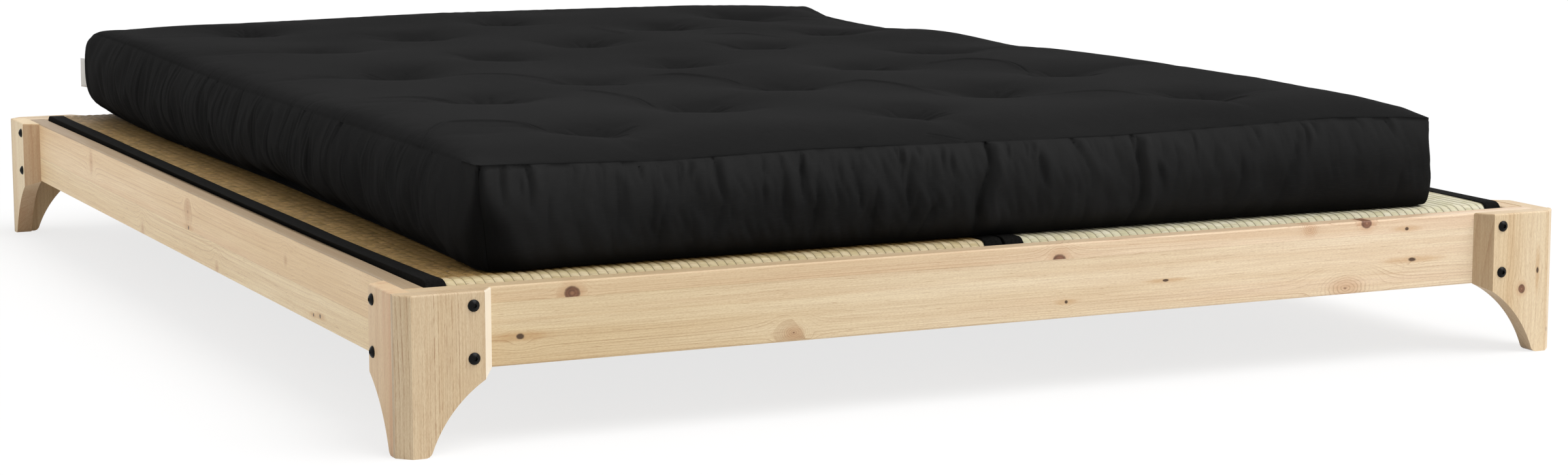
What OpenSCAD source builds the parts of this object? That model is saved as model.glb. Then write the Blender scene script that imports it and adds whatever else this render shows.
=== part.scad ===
// Low platform bed: four pine corner legs bolted to a box of rails, slats on cleats and a
// centre beam, two woven rush mats laid in the box, and one tufted cotton mattress on the mats.
// Millimetres. X runs across the bed, Y along it with the foot end at low Y, Z up from the floor.
// The origin is on the floor at the middle of the frame.

/* [Mats] */
// Width of one mat
mat_w = 800; // [700:10:1000]
// Length of a mat
mat_l = 2000; // [1800:10:2200]
// Height of a mat with its borders
mat_h = 56; // [40:1:62]
// Gap between the two mats
mat_gap = 4; // [2:1:12]
// Gap between a mat and a side rail
mat_side_gap = 3; // [1:1:10]
// Gap between a mat and an end rail
mat_end_gap = 5; // [2:1:15]
// How far the mats stand above the rails
mat_proud = 7; // [0:1:15]
// Thickness of the woven rush cover
rush_t = 2.5; // [1.5:0.5:5]
// Thickness of the border cloth
border_t = 1; // [0.5:0.1:2]
// Width of the border on top of the mat
border_w = 27; // [20:1:45]
// Thickness of the back sheet under a mat
back_sheet_t = 1; // [0.5:0.5:3]

/* [Rails] */
// Thickness of the rails
rail_t = 28; // [22:1:40]
// Height of the rails
rail_h = 100; // [85:1:120]
// Rounding of the long edges of the rails
rail_edge_r = 3; // [1:0.5:6]

/* [Corner legs] */
// Height of the legs, flush with the top of the rails
leg_h = 200; // [180:5:320]
// Thickness of the leg boards
leg_t = 25; // [20:1:35]
// Reach of an arm's flat face from the outer corner
arm_face_w = 111; // [105:1:150]
// Run of the slanted end of an arm
arm_slant = 17; // [8:1:25]
// Chamfer on the outer corner of a leg
corner_chamfer = 17; // [4:1:18]
// Radius of the arch cut under an arm
arch_r = 167; // [158:1:200]
// How far the centre of the arch lies below the floor
arch_drop = 51.5; // [40:0.5:55]
// Rounding of the foot where the arch meets the floor
foot_r = 10; // [4:1:14]
// Rounding of the top edges of a leg
leg_edge_r = 3; // [1:0.5:5]

/* [Leg bolts] */
// Distance of the bolts from the outer corner
bolt_inset = 96.5; // [90:0.5:98]
// Distance of the bolts from the edges of the rails
bolt_edge = 17.5; // [14:0.5:30]
// Thread diameter of the bolts
bolt_d = 8; // [5:1:10]
// Length of a bolt under its head
bolt_l = 50; // [42:1:52]
// Diameter of a bolt's domed head
bolt_head_d = 15; // [12:0.5:20]
// Height of a bolt's domed head
bolt_head_h = 4.4; // [3:0.1:7]
// Width across the flats of the head's socket
bolt_socket_w = 5; // [3:0.5:6]
// Depth of the head's socket
bolt_socket_depth = 2.6; // [1.5:0.1:2.8]
// Outer diameter of the sleeve nuts in the rails
nut_d = 12; // [11:0.5:16]
// Length of the sleeve nuts
nut_l = 20; // [12:1:22]

/* [Leg dowels] */
// Diameter of the dowels in the leg corners
dowel_d = 8; // [6:1:10]
// Length of the dowels
dowel_l = 30; // [24:1:36]
// Lowest dowel above the floor
dowel_low = 30; // [20:1:50]

/* [Slatted base] */
// Number of slats
slat_count = 14; // [8:1:18]
// Width of a slat
slat_w = 70; // [50:1:90]
// Thickness of a slat
slat_t = 18; // [14:1:24]
// Rounding of the long edges of a slat
slat_edge_r = 3; // [1:0.5:6]
// Gap between the end of a slat and a side rail
slat_end_gap = 3; // [1:0.5:8]
// Width of a cleat
cleat_w = 30; // [24:1:45]
// Height of a cleat
cleat_h = 33; // [30:1:40]
// Gap between the end of a cleat and an end rail
cleat_end_gap = 60; // [55:1:90]
// Width of the two webbing tapes that join the slats
tape_w = 20; // [12:1:40]
// Thickness of the webbing tapes
tape_t = 1; // [0.6:0.1:2]
// Wire diameter of the staples
staple_d = 1.2; // [0.8:0.1:2]
// Width of a staple
staple_w = 10; // [6:1:11]
// Length of a staple's legs
staple_l = 8; // [5:1:12]

/* [Centre beam] */
// Width of the centre beam
beam_w = 60; // [50:1:90]
// Height of the centre beam
beam_h = 31; // [24:1:40]
// Gap between the end of the beam and an end rail
beam_end_gap = 1; // [0.5:0.5:5]
// Sheet thickness of the beam hangers
hanger_t = 2; // [1.5:0.5:3]
// Gap between the beam and the cheeks of a hanger
hanger_gap = 0.3; // [0.1:0.1:1]
// Depth of the shelf of a hanger
hanger_depth = 40; // [25:1:60]
// Height of a hanger
hanger_h = 28; // [24:1:31]
// Width of the ears of a hanger
hanger_ear_w = 22; // [16:1:35]
// Width of the square centre leg
centre_leg_w = 45; // [38:1:49]

/* [Wood screws] */
// Diameter of the wood screws
screw_d = 4; // [3:0.5:5]
// Head diameter of the wood screws
screw_head_d = 8; // [7:0.5:10]
// Length of the cleat screws
cleat_screw_l = 50; // [40:1:54]
// Number of screws in each cleat
cleat_screw_count = 7; // [3:1:9]
// Distance of the end cleat screws from the end of the cleat
cleat_screw_inset = 65; // [60:1:120]
// Length of the slat screws
slat_screw_l = 30; // [24:1:40]
// Length of the hanger screws
hanger_screw_l = 25; // [15:1:28]
// Diameter of the two centre leg screws
leg_screw_d = 6; // [5:0.5:8]
// Length of the centre leg screws
leg_screw_l = 90; // [60:1:110]
// Distance between the centre leg screws
leg_screw_pitch = 20; // [16:1:26]

/* [Mattress] */
// Width of the mattress
mattress_w = 1400; // [1200:10:1600]
// Length of the mattress
mattress_l = 2000; // [1800:10:2100]
// Sideways offset of the mattress from the middle of the frame
mattress_shift_x = -26; // [-60:1:60]
// Lengthwise offset of the mattress from the middle of the frame
mattress_shift_y = 12; // [-30:1:30]
// Height of the side band, up to the top seam
mattress_side_h = 132; // [90:1:170]
// Height of the crown above the top seam
mattress_crown = 22; // [15:1:40]
// Run of the crown in from the edge
crown_run = 120; // [80:5:200]
// Depth of a tuft below the crown
tuft_depth = 19; // [8:1:20]
// Half width of a tuft's hollow
tuft_spread = 45; // [30:1:70]
// Number of tufts in the wide rows
tuft_cols = 3; // [1:1:5]
// Number of rows of tufts
tuft_rows = 9; // [3:2:11]
// Sideways step from a tuft to its neighbour in the next row
tuft_step_x = 233.3; // [120:0.1:260]
// Distance between rows of tufts
tuft_step_y = 200; // [120:1:220]
// How far the sides draw in between the corners
side_draw_in = 6; // [0:0.5:12]
// How far the side band swells out between the corners
side_swell = 13; // [4:0.5:20]
// How far the bottom edge tucks in
bottom_tuck = 22; // [12:1:30]
// Height of the bottom panel with its turned-up edge
bottom_panel_h = 6; // [3:0.5:10]
// Thickness of the padded side band
band_wall = 24; // [20:1:40]
// Thickness of the firm core
core_t = 44; // [20:1:60]
// Diameter of the tuft threads
thread_d = 3; // [2:0.5:5]
// Clearance around soft pieces
soft_gap = 0.3; // [0.2:0.1:1]
// Length of the plain tag
tag_l = 25; // [15:1:40]
// Height of the plain tag
tag_h = 50; // [30:1:60]
// Thickness of the plain tag
tag_t = 1; // [0.6:0.1:2]

/* [Hidden] */
$fn = 64;
// Clearance of screws, bolts, dowels and staples in their holes
fit = 0.05;
// Overshoot of cuts past a face
cut = 1;
// Spare depth at each end of a dowel hole
dowel_play = 0.5;
inner_w = 2 * mat_w + mat_gap + 2 * mat_side_gap;
inner_l = mat_l + 2 * mat_end_gap;
outer_w = inner_w + 2 * (rail_t + leg_t);
outer_l = inner_l + 2 * (rail_t + leg_t);
rail_base = leg_h - rail_h;
arm_reach = arm_face_w + arm_slant;
arch_x = arm_reach + sqrt(pow(arch_r, 2) - pow(rail_base + arch_drop, 2));
foot_x = arch_x - sqrt(pow(arch_r + foot_r, 2) - pow(foot_r + arch_drop, 2));
bolt_zs = [rail_base + bolt_edge, leg_h - bolt_edge];
dowel_zs = [dowel_low, rail_base, leg_h - dowel_low];
bolt_x = outer_w / 2 - bolt_inset;
bolt_y = outer_l / 2 - bolt_inset;

mat_base = leg_h + mat_proud - mat_h;
mat_top = mat_base + mat_h;
mat_x = (mat_gap + mat_w) / 2;
rush_w = mat_w - 2 * border_t;
rush_l = mat_l - 2 * border_t;
rush_top = mat_top - border_t;
mat_core_l = rush_l - 2 * rush_t;

slat_base = mat_base - slat_t;
slat_l = inner_w - 2 * slat_end_gap;
cleat_l = inner_l - 2 * cleat_end_gap;
cleat_x = (inner_w - cleat_w) / 2;
cleat_base = slat_base - cleat_h;
slat_pitch = (cleat_l - slat_w) / (slat_count - 1);
slat_ys = [for (i = [0:slat_count - 1]) (slat_w - cleat_l) / 2 + i * slat_pitch];
end_slat_y = (cleat_l - slat_w) / 2;
tape_x = (cleat_x + beam_w / 2) / 2;
beam_base = slat_base - beam_h;
beam_l = inner_l - 2 * beam_end_gap;
cheek_x = beam_w / 2 + hanger_gap;
ear_x = cheek_x + hanger_t + hanger_ear_w / 2;
hanger_screw_zs = [beam_base + hanger_h / 4, beam_base + hanger_h * 3 / 4];
cleat_screw_pitch = (cleat_l - 2 * cleat_screw_inset) / (cleat_screw_count - 1);
cleat_screw_ys = [for (i = [0:cleat_screw_count - 1]) cleat_screw_inset - cleat_l / 2 + i * cleat_screw_pitch];
cleat_screw_z = cleat_base + cleat_h / 2;

half_w = mattress_w / 2;
half_l = mattress_l / 2;
mattress_base = mat_top + soft_gap;
band_base = mattress_base + bottom_panel_h;
seam_z = mattress_base + mattress_side_h;
filling_w = mattress_w - 2 * band_wall - 2 * soft_gap;
filling_l = mattress_l - 2 * band_wall - 2 * soft_gap;
batting_t = (seam_z - band_base - core_t) / 2 - soft_gap;
lower_batting_z = band_base + soft_gap;
core_z = lower_batting_z + batting_t;
upper_batting_z = core_z + core_t;
// Plan lines of the top panel: one line near each edge and three steps from tuft to tuft
edge_line = 25;
cells_per_step = 3;
function plan_lines(half, step) =
    let (n = floor((half - edge_line - step / 2) / step))
    concat([-half, edge_line - half], [for (i = [-n:n]) i * step], [half - edge_line, half]);
xs = plan_lines(half_w, tuft_step_x / cells_per_step);
ys = plan_lines(half_l, tuft_step_y / cells_per_step);
nx = len(xs);
ny = len(ys);
// Tufts stand in staggered rows: wide rows, with narrow rows of one tuft fewer between them
function row_cols(row) = tuft_cols - row % 2;
tufts = [
    for (row = [0:tuft_rows - 1], col = [0:row_cols(row) - 1])
        [(2 * col - row_cols(row) + 1) * tuft_step_x, (row - (tuft_rows - 1) / 2) * tuft_step_y]
];
tuft_places = [for (t = tufts) if (abs(t.x) < half_w - 2 * band_wall && abs(t.y) < half_l - 2 * band_wall) t];
function hollow(p) = max([for (t = tuft_places) exp(-pow(norm(p - t) / tuft_spread, 2) / 2)]);
function edge_distance(p) = min(half_w - abs(p.x), half_l - abs(p.y));
function crown_at(p) =
    edge_distance(p) < 0.01 ? 0 :
    mattress_crown * (1 - pow(1 - min(edge_distance(p), crown_run) / crown_run, 2)) - tuft_depth * hollow(p);
// A plan point moved inwards where the sides draw in between the corners
function drawn_in(p) = [
    p.x - p.x / half_w * side_draw_in * (1 - pow(p.y / half_l, 2)),
    p.y - p.y / half_l * side_draw_in * (1 - pow(p.x / half_w, 2))
];
// Fullness of the side band, none at the corners and all of it along the sides
function fullness(p) = 1 - pow(min(abs(p.x) / half_w, abs(p.y) / half_l), 6);
// A point of the plan edge, set in by tuck and swollen out by swell
function edge_point(p, tuck, swell) =
    let (grow = swell * fullness(p) - tuck)
    drawn_in([p.x * (half_w + grow) / half_w, p.y * (half_l + grow) / half_l]);
function every_second(list) = [for (i = [0:2:len(list) - 1]) list[i]];
edge_xs = every_second(xs);
edge_ys = every_second(ys);
edge_nx = len(edge_xs);
edge_ny = len(edge_ys);
// The plan edge, counter-clockwise from the front left corner
plan_edge = concat(
    [for (i = [0:edge_nx - 2]) [edge_xs[i], -half_l]],
    [for (i = [0:edge_ny - 2]) [half_w, edge_ys[i]]],
    [for (i = [edge_nx - 1:-1:1]) [edge_xs[i], half_l]],
    [for (i = [edge_ny - 1:-1:1]) [-half_w, edge_ys[i]]]
);

frame_nodes = [
    "front_left_leg_end_board", "front_left_leg_side_board",
    "front_right_leg_end_board", "front_right_leg_side_board",
    "back_left_leg_end_board", "back_left_leg_side_board",
    "back_right_leg_end_board", "back_right_leg_side_board",
    "front_rail", "back_rail", "left_rail", "right_rail",
    "leg_bolts", "sleeve_nuts", "leg_dowels",
    "left_cleat", "right_cleat", "cleat_screws",
    "centre_beam", "front_beam_hanger", "back_beam_hanger", "hanger_screws",
    "centre_leg", "centre_leg_screws",
    "left_slat_tape", "right_slat_tape", "tape_staples", "slat_screws"
];
slat_nodes = [for (i = [1:slat_count]) str("slat_", i)];
mat_nodes = [
    "left_mat_core", "left_mat_back_sheet", "left_mat_rush_cover",
    "left_mat_outer_border", "left_mat_inner_border",
    "right_mat_core", "right_mat_back_sheet", "right_mat_rush_cover",
    "right_mat_outer_border", "right_mat_inner_border"
];
mattress_nodes = [
    "mattress_top_panel", "mattress_side_band", "mattress_bottom_panel",
    "mattress_upper_batting", "mattress_core", "mattress_lower_batting",
    "tuft_threads", "mattress_tag"
];

// Puts a piece drawn at the front left corner, inwards along +X and +Y, at the chosen corner
module at_corner(side_x, side_y) {
    translate([side_x * outer_w / 2, side_y * outer_l / 2, 0])
        mirror([side_x > 0 ? 1 : 0, 0, 0])
            mirror([0, side_y > 0 ? 1 : 0, 0])
                children();
}

module at_corners() {
    for (side_x = [-1, 1], side_y = [-1, 1])
        at_corner(side_x, side_y) children();
}

// Swaps X and Y, so that what is drawn along an end lies along a side
module swap_xy() {
    mirror([1, -1, 0]) children();
}

// A board of length l along X with its long edges rounded, standing on z = 0
module rounded_bar(l, w, h, r) {
    translate([-l / 2, 0, 0])
        rotate([90, 0, 90])
            linear_extrude(height = l) {
                translate([-w / 2 + r, 0]) square([w - 2 * r, h]);
                translate([-w / 2, r]) square([w, h - 2 * r]);
                for (x = [r - w / 2, w / 2 - r], y = [r, h - r])
                    translate([x, y]) circle(r = r);
            }
}

// Face of a leg board: u from the outer corner, z up from the floor
module leg_outline() {
    tangent = [
        foot_x + (arch_x - foot_x) * foot_r / (arch_r + foot_r),
        foot_r - (foot_r + arch_drop) * foot_r / (arch_r + foot_r)
    ];
    difference() {
        square([arm_reach, leg_h]);
        translate([arch_x, -arch_drop]) circle(r = arch_r, $fn = 180);
        polygon([[foot_x, -cut], [arm_reach, -cut], [arm_reach, tangent.y], tangent, [foot_x, foot_r]]);
    }
    translate([foot_x, foot_r]) circle(r = foot_r);
}

// Stock outside a rounded edge that runs along X at the origin, with the board at +Y and -Z
module edge_waste(r) {
    difference() {
        translate([-leg_h, -cut, -r]) cube([2 * leg_h, r + cut, r + cut]);
        translate([-leg_h - cut, r, -r]) rotate([0, 90, 0]) cylinder(r = r, h = 2 * (leg_h + cut));
    }
}

// A leg board along X from the outer corner, cut back to start at from_u
module leg_board(from_u) {
    slant_angle = atan2(leg_t, arm_slant);
    difference() {
        intersection() {
            translate([0, leg_t, 0])
                rotate([90, 0, 0])
                    linear_extrude(height = leg_t) leg_outline();
            translate([from_u, 0, 0]) cube([arm_reach, leg_t, leg_h]);
        }
        translate([0, 0, -cut])
            linear_extrude(height = leg_h + 2 * cut)
                polygon([[-cut, -cut], [corner_chamfer + cut, -cut], [-cut, corner_chamfer + cut]]);
        translate([arm_face_w, 0, -cut])
            linear_extrude(height = leg_h + 2 * cut)
                polygon([
                    [-arm_slant * cut / leg_t, -cut], [2 * arm_slant, -cut],
                    [2 * arm_slant, leg_t + cut], [arm_slant * (1 + cut / leg_t), leg_t + cut]
                ]);
        translate([0, 0, leg_h]) edge_waste(leg_edge_r);
        translate([corner_chamfer, 0, leg_h]) rotate([0, 0, 135]) mirror([0, 1, 0]) edge_waste(leg_edge_r);
        translate([arm_face_w, 0, leg_h]) rotate([0, 0, slant_angle]) edge_waste(leg_edge_r);
        for (z = bolt_zs)
            translate([bolt_inset, -cut, z])
                rotate([-90, 0, 0]) cylinder(d = bolt_d + 2 * fit, h = leg_t + 2 * cut);
    }
}

module dowel_holes() {
    for (z = dowel_zs)
        translate([leg_t / 2, leg_t - dowel_l / 2 - dowel_play, z])
            rotate([-90, 0, 0]) cylinder(d = dowel_d + 2 * fit, h = dowel_l + 2 * dowel_play);
}

// Board on the face of an end rail; it covers the end of the side board
module leg_end_board() {
    color("burlywood")
        difference() {
            leg_board(0);
            dowel_holes();
        }
}

module leg_side_board() {
    color("burlywood")
        difference() {
            swap_xy() leg_board(leg_t);
            dowel_holes();
        }
}

module leg_dowels() {
    color("tan")
        at_corners()
            for (z = dowel_zs)
                translate([leg_t / 2, leg_t - dowel_l / 2, z])
                    rotate([-90, 0, 0]) cylinder(d = dowel_d, h = dowel_l);
}

// Bored through for a bolt, and wider from the inner face for its sleeve nut; drilled along +Y
module bolt_bore() {
    translate([0, -cut, 0])
        rotate([-90, 0, 0]) cylinder(d = bolt_d + 2 * fit, h = rail_t + 2 * cut);
    translate([0, rail_t - nut_l, 0])
        rotate([-90, 0, 0]) cylinder(d = nut_d, h = nut_l + cut);
}

// End rail drawn at the front, between the side boards of the legs
module front_end_rail() {
    rail_y = -outer_l / 2 + leg_t;
    difference() {
        translate([0, rail_y + rail_t / 2, rail_base])
            rounded_bar(outer_w - 2 * leg_t, rail_t, rail_h, rail_edge_r);
        for (x = [-bolt_x, bolt_x], z = bolt_zs)
            translate([x, rail_y, z]) bolt_bore();
        translate([0, -inner_l / 2, 0]) hanger_screw_shapes(fit);
    }
}

module end_rail(side) {
    color("burlywood")
        mirror([0, side > 0 ? 1 : 0, 0]) front_end_rail();
}

// Side rail drawn at the left, between the end rails
module left_side_rail() {
    rail_x = -outer_w / 2 + leg_t;
    difference() {
        translate([rail_x + rail_t / 2, 0, rail_base])
            rotate([0, 0, 90]) rounded_bar(inner_l, rail_t, rail_h, rail_edge_r);
        for (y = [-bolt_y, bolt_y], z = bolt_zs)
            translate([rail_x, y, z]) swap_xy() bolt_bore();
        cleat_screw_shapes(fit);
    }
}

module side_rail(side) {
    color("burlywood")
        mirror([side > 0 ? 1 : 0, 0, 0]) left_side_rail();
}

// Button head bolt along +Y, the underside of its head at the origin
module leg_bolt() {
    rim_h = bolt_head_h / 5;
    dome_h = bolt_head_h - rim_h;
    dome_r = (pow(bolt_head_d / 2, 2) + pow(dome_h, 2)) / (2 * dome_h);
    rotate([90, 0, 0])
        difference() {
            union() {
                translate([0, 0, -bolt_l]) cylinder(d = bolt_d, h = bolt_l + rim_h);
                cylinder(d = bolt_head_d, h = rim_h);
                intersection() {
                    translate([0, 0, bolt_head_h - dome_r]) sphere(r = dome_r);
                    cylinder(d = bolt_head_d, h = bolt_head_h + cut);
                }
            }
            translate([0, 0, bolt_head_h - bolt_socket_depth])
                cylinder(d = bolt_socket_w / cos(30), h = bolt_socket_depth + cut, $fn = 6);
        }
}

module leg_bolts() {
    color("#1c1c1e")
        at_corners()
            for (z = bolt_zs) {
                translate([bolt_inset, 0, z]) leg_bolt();
                swap_xy() translate([bolt_inset, 0, z]) leg_bolt();
            }
}

module sleeve_nut() {
    translate([0, leg_t + rail_t - nut_l, 0])
        rotate([-90, 0, 0])
            difference() {
                cylinder(d = nut_d - 2 * fit, h = nut_l);
                translate([0, 0, -cut]) cylinder(d = bolt_d + 2 * fit, h = nut_l + 2 * cut);
            }
}

module sleeve_nuts() {
    color("silver")
        at_corners()
            for (z = bolt_zs) {
                translate([bolt_inset, 0, z]) sleeve_nut();
                swap_xy() translate([bolt_inset, 0, z]) sleeve_nut();
            }
}

// Countersunk wood screw pointing down, the top of its head at the origin, grown by grow all round
module wood_screw(d, head_d, l, grow) {
    head_h = (head_d - d) / 2;
    translate([0, 0, -l]) cylinder(r = d / 2 + grow, h = l);
    translate([0, 0, -head_h]) cylinder(r1 = d / 2 + grow, r2 = head_d / 2 + grow, h = head_h);
}

// Cleat screws of the left side
module cleat_screw_shapes(grow) {
    for (y = cleat_screw_ys)
        translate([cleat_w - inner_w / 2, y, cleat_screw_z])
            rotate([0, 90, 0]) wood_screw(screw_d, screw_head_d, cleat_screw_l, grow);
}

module slat_screw_shapes(grow) {
    for (x = [-cleat_x, cleat_x], y = [-end_slat_y, end_slat_y])
        translate([x, y, slat_base + slat_t]) wood_screw(screw_d, screw_head_d, slat_screw_l, grow);
}

module side_cleat(side) {
    color("wheat")
        mirror([side > 0 ? 1 : 0, 0, 0])
            difference() {
                translate([-cleat_x - cleat_w / 2, -cleat_l / 2, cleat_base])
                    cube([cleat_w, cleat_l, cleat_h]);
                cleat_screw_shapes(fit);
                slat_screw_shapes(fit);
            }
}

module cleat_screws() {
    color("silver")
        for (side = [0, 1])
            mirror([side, 0, 0]) cleat_screw_shapes(0);
}

module slat_screws() {
    color("silver") slat_screw_shapes(0);
}

module centre_leg_screw_shapes(grow) {
    for (y = [-leg_screw_pitch / 2, leg_screw_pitch / 2])
        translate([0, y, slat_base]) wood_screw(leg_screw_d, 2 * leg_screw_d, leg_screw_l, grow);
}

module centre_beam() {
    color("wheat")
        difference() {
            translate([-beam_w / 2, -beam_l / 2, beam_base]) cube([beam_w, beam_l, beam_h]);
            centre_leg_screw_shapes(fit);
        }
}

module centre_leg() {
    color("wheat")
        difference() {
            translate([-centre_leg_w / 2, -centre_leg_w / 2, 0])
                cube([centre_leg_w, centre_leg_w, beam_base]);
            centre_leg_screw_shapes(fit);
        }
}

module centre_leg_screws() {
    color("silver") centre_leg_screw_shapes(0);
}

// Screws of the front hanger, from an end rail's inner face at y = 0 into the rail at -Y
module hanger_screw_shapes(grow) {
    head_h = 2.5;
    for (x = [-ear_x, ear_x], z = hanger_screw_zs)
        translate([x, hanger_t, z])
            rotate([90, 0, 0]) {
                cylinder(r = screw_d / 2 + grow, h = hanger_screw_l);
                translate([0, 0, -head_h]) cylinder(d = screw_head_d, h = head_h);
            }
}

// Folded sheet steel hanger with a shelf and two cheeks for the beam and two ears on the rail
module front_hanger() {
    difference() {
        union() {
            translate([-cheek_x - hanger_t, 0, beam_base - hanger_t])
                cube([2 * (cheek_x + hanger_t), hanger_depth, hanger_t]);
            for (side = [0, 1])
                mirror([side, 0, 0])
                    translate([cheek_x, 0, beam_base - hanger_t]) {
                        cube([hanger_t, hanger_depth, hanger_h + hanger_t]);
                        cube([hanger_t + hanger_ear_w, hanger_t, hanger_h + hanger_t]);
                    }
        }
        hanger_screw_shapes(fit);
    }
}

module beam_hanger(side) {
    color("silver")
        mirror([0, side > 0 ? 1 : 0, 0])
            translate([0, -inner_l / 2, 0]) front_hanger();
}

module hanger_screws() {
    color("silver")
        for (side = [0, 1])
            mirror([0, side, 0])
                translate([0, -inner_l / 2, 0]) hanger_screw_shapes(0);
}

// Staples through the tapes into the slats, one for each slat and tape
module staple_shapes(grow) {
    for (x = [-tape_x, tape_x], y = slat_ys)
        translate([x, y, slat_base - tape_t]) {
            for (side = [-1, 1])
                translate([side * (staple_w - staple_d) / 2, 0, -staple_d / 2])
                    cylinder(r = staple_d / 2 + grow, h = staple_l + tape_t + staple_d / 2);
            translate([-staple_w / 2, -staple_d / 2, -staple_d]) cube([staple_w, staple_d, staple_d]);
        }
}

module tape_staples() {
    color("silver") staple_shapes(0);
}

module slat_tape(side) {
    color("ivory")
        difference() {
            translate([side * tape_x - tape_w / 2, -cleat_l / 2, slat_base - tape_t])
                cube([tape_w, cleat_l, tape_t]);
            staple_shapes(fit);
        }
}

// Slats are numbered from the foot end
module slat(number) {
    color("blanchedalmond")
        difference() {
            translate([0, slat_ys[number - 1], slat_base])
                rounded_bar(slat_l, slat_w, slat_t, slat_edge_r);
            staple_shapes(fit);
            slat_screw_shapes(fit);
        }
}

module mat_core(side) {
    color("khaki")
        translate([side * mat_x - rush_w / 2, -mat_core_l / 2, mat_base + back_sheet_t])
            cube([rush_w, mat_core_l, rush_top - rush_t - mat_base - back_sheet_t]);
}

module mat_back_sheet(side) {
    color("dimgray")
        translate([side * mat_x - rush_w / 2, -mat_core_l / 2, mat_base])
            cube([rush_w, mat_core_l, back_sheet_t]);
}

// Woven sheet over the top, folded down over both ends
module mat_rush_cover(side) {
    color("#c9c08f")
        translate([side * mat_x - rush_w / 2, 0, 0]) {
            translate([0, -rush_l / 2, rush_top - rush_t]) cube([rush_w, rush_l, rush_t]);
            for (y = [-rush_l / 2, rush_l / 2 - rush_t])
                translate([0, y, mat_base]) cube([rush_w, rush_t, rush_top - mat_base]);
        }
}

// Cloth border along one long side: on top, down the side and down both ends
module mat_border(side, edge) {
    color("#151515")
        translate([side * mat_x, 0, 0])
            mirror([edge > 0 ? 0 : 1, 0, 0]) {
                translate([mat_w / 2 - border_t, -rush_l / 2, mat_base])
                    cube([border_t, rush_l, mat_h]);
                translate([mat_w / 2 - border_w, -rush_l / 2, rush_top])
                    cube([border_w, rush_l, border_t]);
                for (y = [-mat_l / 2, rush_l / 2])
                    translate([mat_w / 2 - border_w, y, mat_base]) cube([border_w, border_t, mat_h]);
            }
}

module on_mats() {
    translate([mattress_shift_x, mattress_shift_y, 0]) children();
}

// Crowned and tufted top panel, with the flat plane of the top seam under it
module mattress_top_panel() {
    grid = [
        for (j = [0:ny - 1], i = [0:nx - 1])
            let (p = [xs[i], ys[j]], q = drawn_in(p))
            [q.x, q.y, seam_z + crown_at(p)]
    ];
    middle = nx * ny;
    front = [for (i = [0:nx - 1]) i];
    right = [for (j = [0:ny - 1]) j * nx + nx - 1];
    back = [for (i = [0:nx - 1]) (ny - 1) * nx + nx - 1 - i];
    left = [for (j = [0:ny - 1]) (ny - 1 - j) * nx];
    top_faces = [
        for (j = [0:ny - 2], i = [0:nx - 2])
            let (a = j * nx + i)
            each [[a, a + nx + 1, a + 1], [a, a + nx, a + nx + 1]]
    ];
    seam_faces = [
        for (side = [front, right, back, left], k = [0:len(side) - 2])
            [side[k], side[k + 1], middle]
    ];
    color("#2b2b2b")
        on_mats()
            polyhedron(points = concat(grid, [[0, 0, seam_z]]), faces = concat(top_faces, seam_faces));
}

// Closed shape through rings of [height, tuck, swell] around the plan edge, flat at both ends
module ringed_shape(rings) {
    n = len(plan_edge);
    last = len(rings) - 1;
    points = [
        for (ring = rings, p = plan_edge)
            let (q = edge_point(p, ring[1], ring[2]))
            [q.x, q.y, ring[0]]
    ];
    base_middle = (last + 1) * n;
    side_faces = [
        for (k = [0:last - 1], i = [0:n - 1])
            let (a = k * n + i, b = k * n + (i + 1) % n)
            each [[a, b + n, b], [a, a + n, b + n]]
    ];
    end_faces = [
        for (i = [0:n - 1])
            let (j = (i + 1) % n)
            each [[i, j, base_middle], [last * n + j, last * n + i, base_middle + 1]]
    ];
    polyhedron(
        points = concat(points, [[0, 0, rings[0][0]], [0, 0, rings[last][0]]]),
        faces = concat(side_faces, end_faces)
    );
}

// Padded band around the filling, swollen between its seams and drawn in along the top one
module mattress_side_band() {
    band_h = seam_z - band_base;
    color("#1c1c1c")
        on_mats()
            difference() {
                ringed_shape([
                    [band_base, bottom_tuck / 2, 0],
                    [band_base + band_h / 4, 0, side_swell],
                    [band_base + band_h * 3 / 4, 0, side_swell],
                    [seam_z, 0, 0]
                ]);
                translate([band_wall - half_w, band_wall - half_l, band_base - cut])
                    cube([mattress_w - 2 * band_wall, mattress_l - 2 * band_wall, band_h + 2 * cut]);
            }
}

module mattress_bottom_panel() {
    color("#1c1c1c")
        on_mats() ringed_shape([[mattress_base, bottom_tuck, 0], [band_base, bottom_tuck / 2, 0]]);
}

// One flat layer of the filling, with a hole for each tuft thread
module filling_layer(base, h) {
    difference() {
        translate([-filling_w / 2, -filling_l / 2, base]) cube([filling_w, filling_l, h]);
        for (t = tuft_places)
            translate([t.x, t.y, base - cut]) cylinder(d = thread_d + 2 * soft_gap, h = h + 2 * cut);
    }
}

module mattress_lower_batting() {
    color("ivory") on_mats() filling_layer(lower_batting_z, batting_t);
}

module mattress_core() {
    color("peru") on_mats() filling_layer(core_z, core_t);
}

module mattress_upper_batting() {
    color("ivory") on_mats() filling_layer(upper_batting_z, batting_t);
}

module tuft_threads() {
    color("#202020")
        on_mats()
            for (t = tuft_places)
                translate([t.x, t.y, band_base]) cylinder(d = thread_d, h = seam_z - band_base);
}

// Plain tag sewn into the corner seam at the back left
module mattress_tag() {
    tag_angle = 107;
    color("white")
        on_mats()
            translate([-half_w, half_l, (band_base + seam_z - tag_h) / 2])
                rotate([0, 0, tag_angle])
                    translate([tag_t / 2, -tag_t / 2, 0]) cube([tag_l, tag_t, tag_h]);
}

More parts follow.
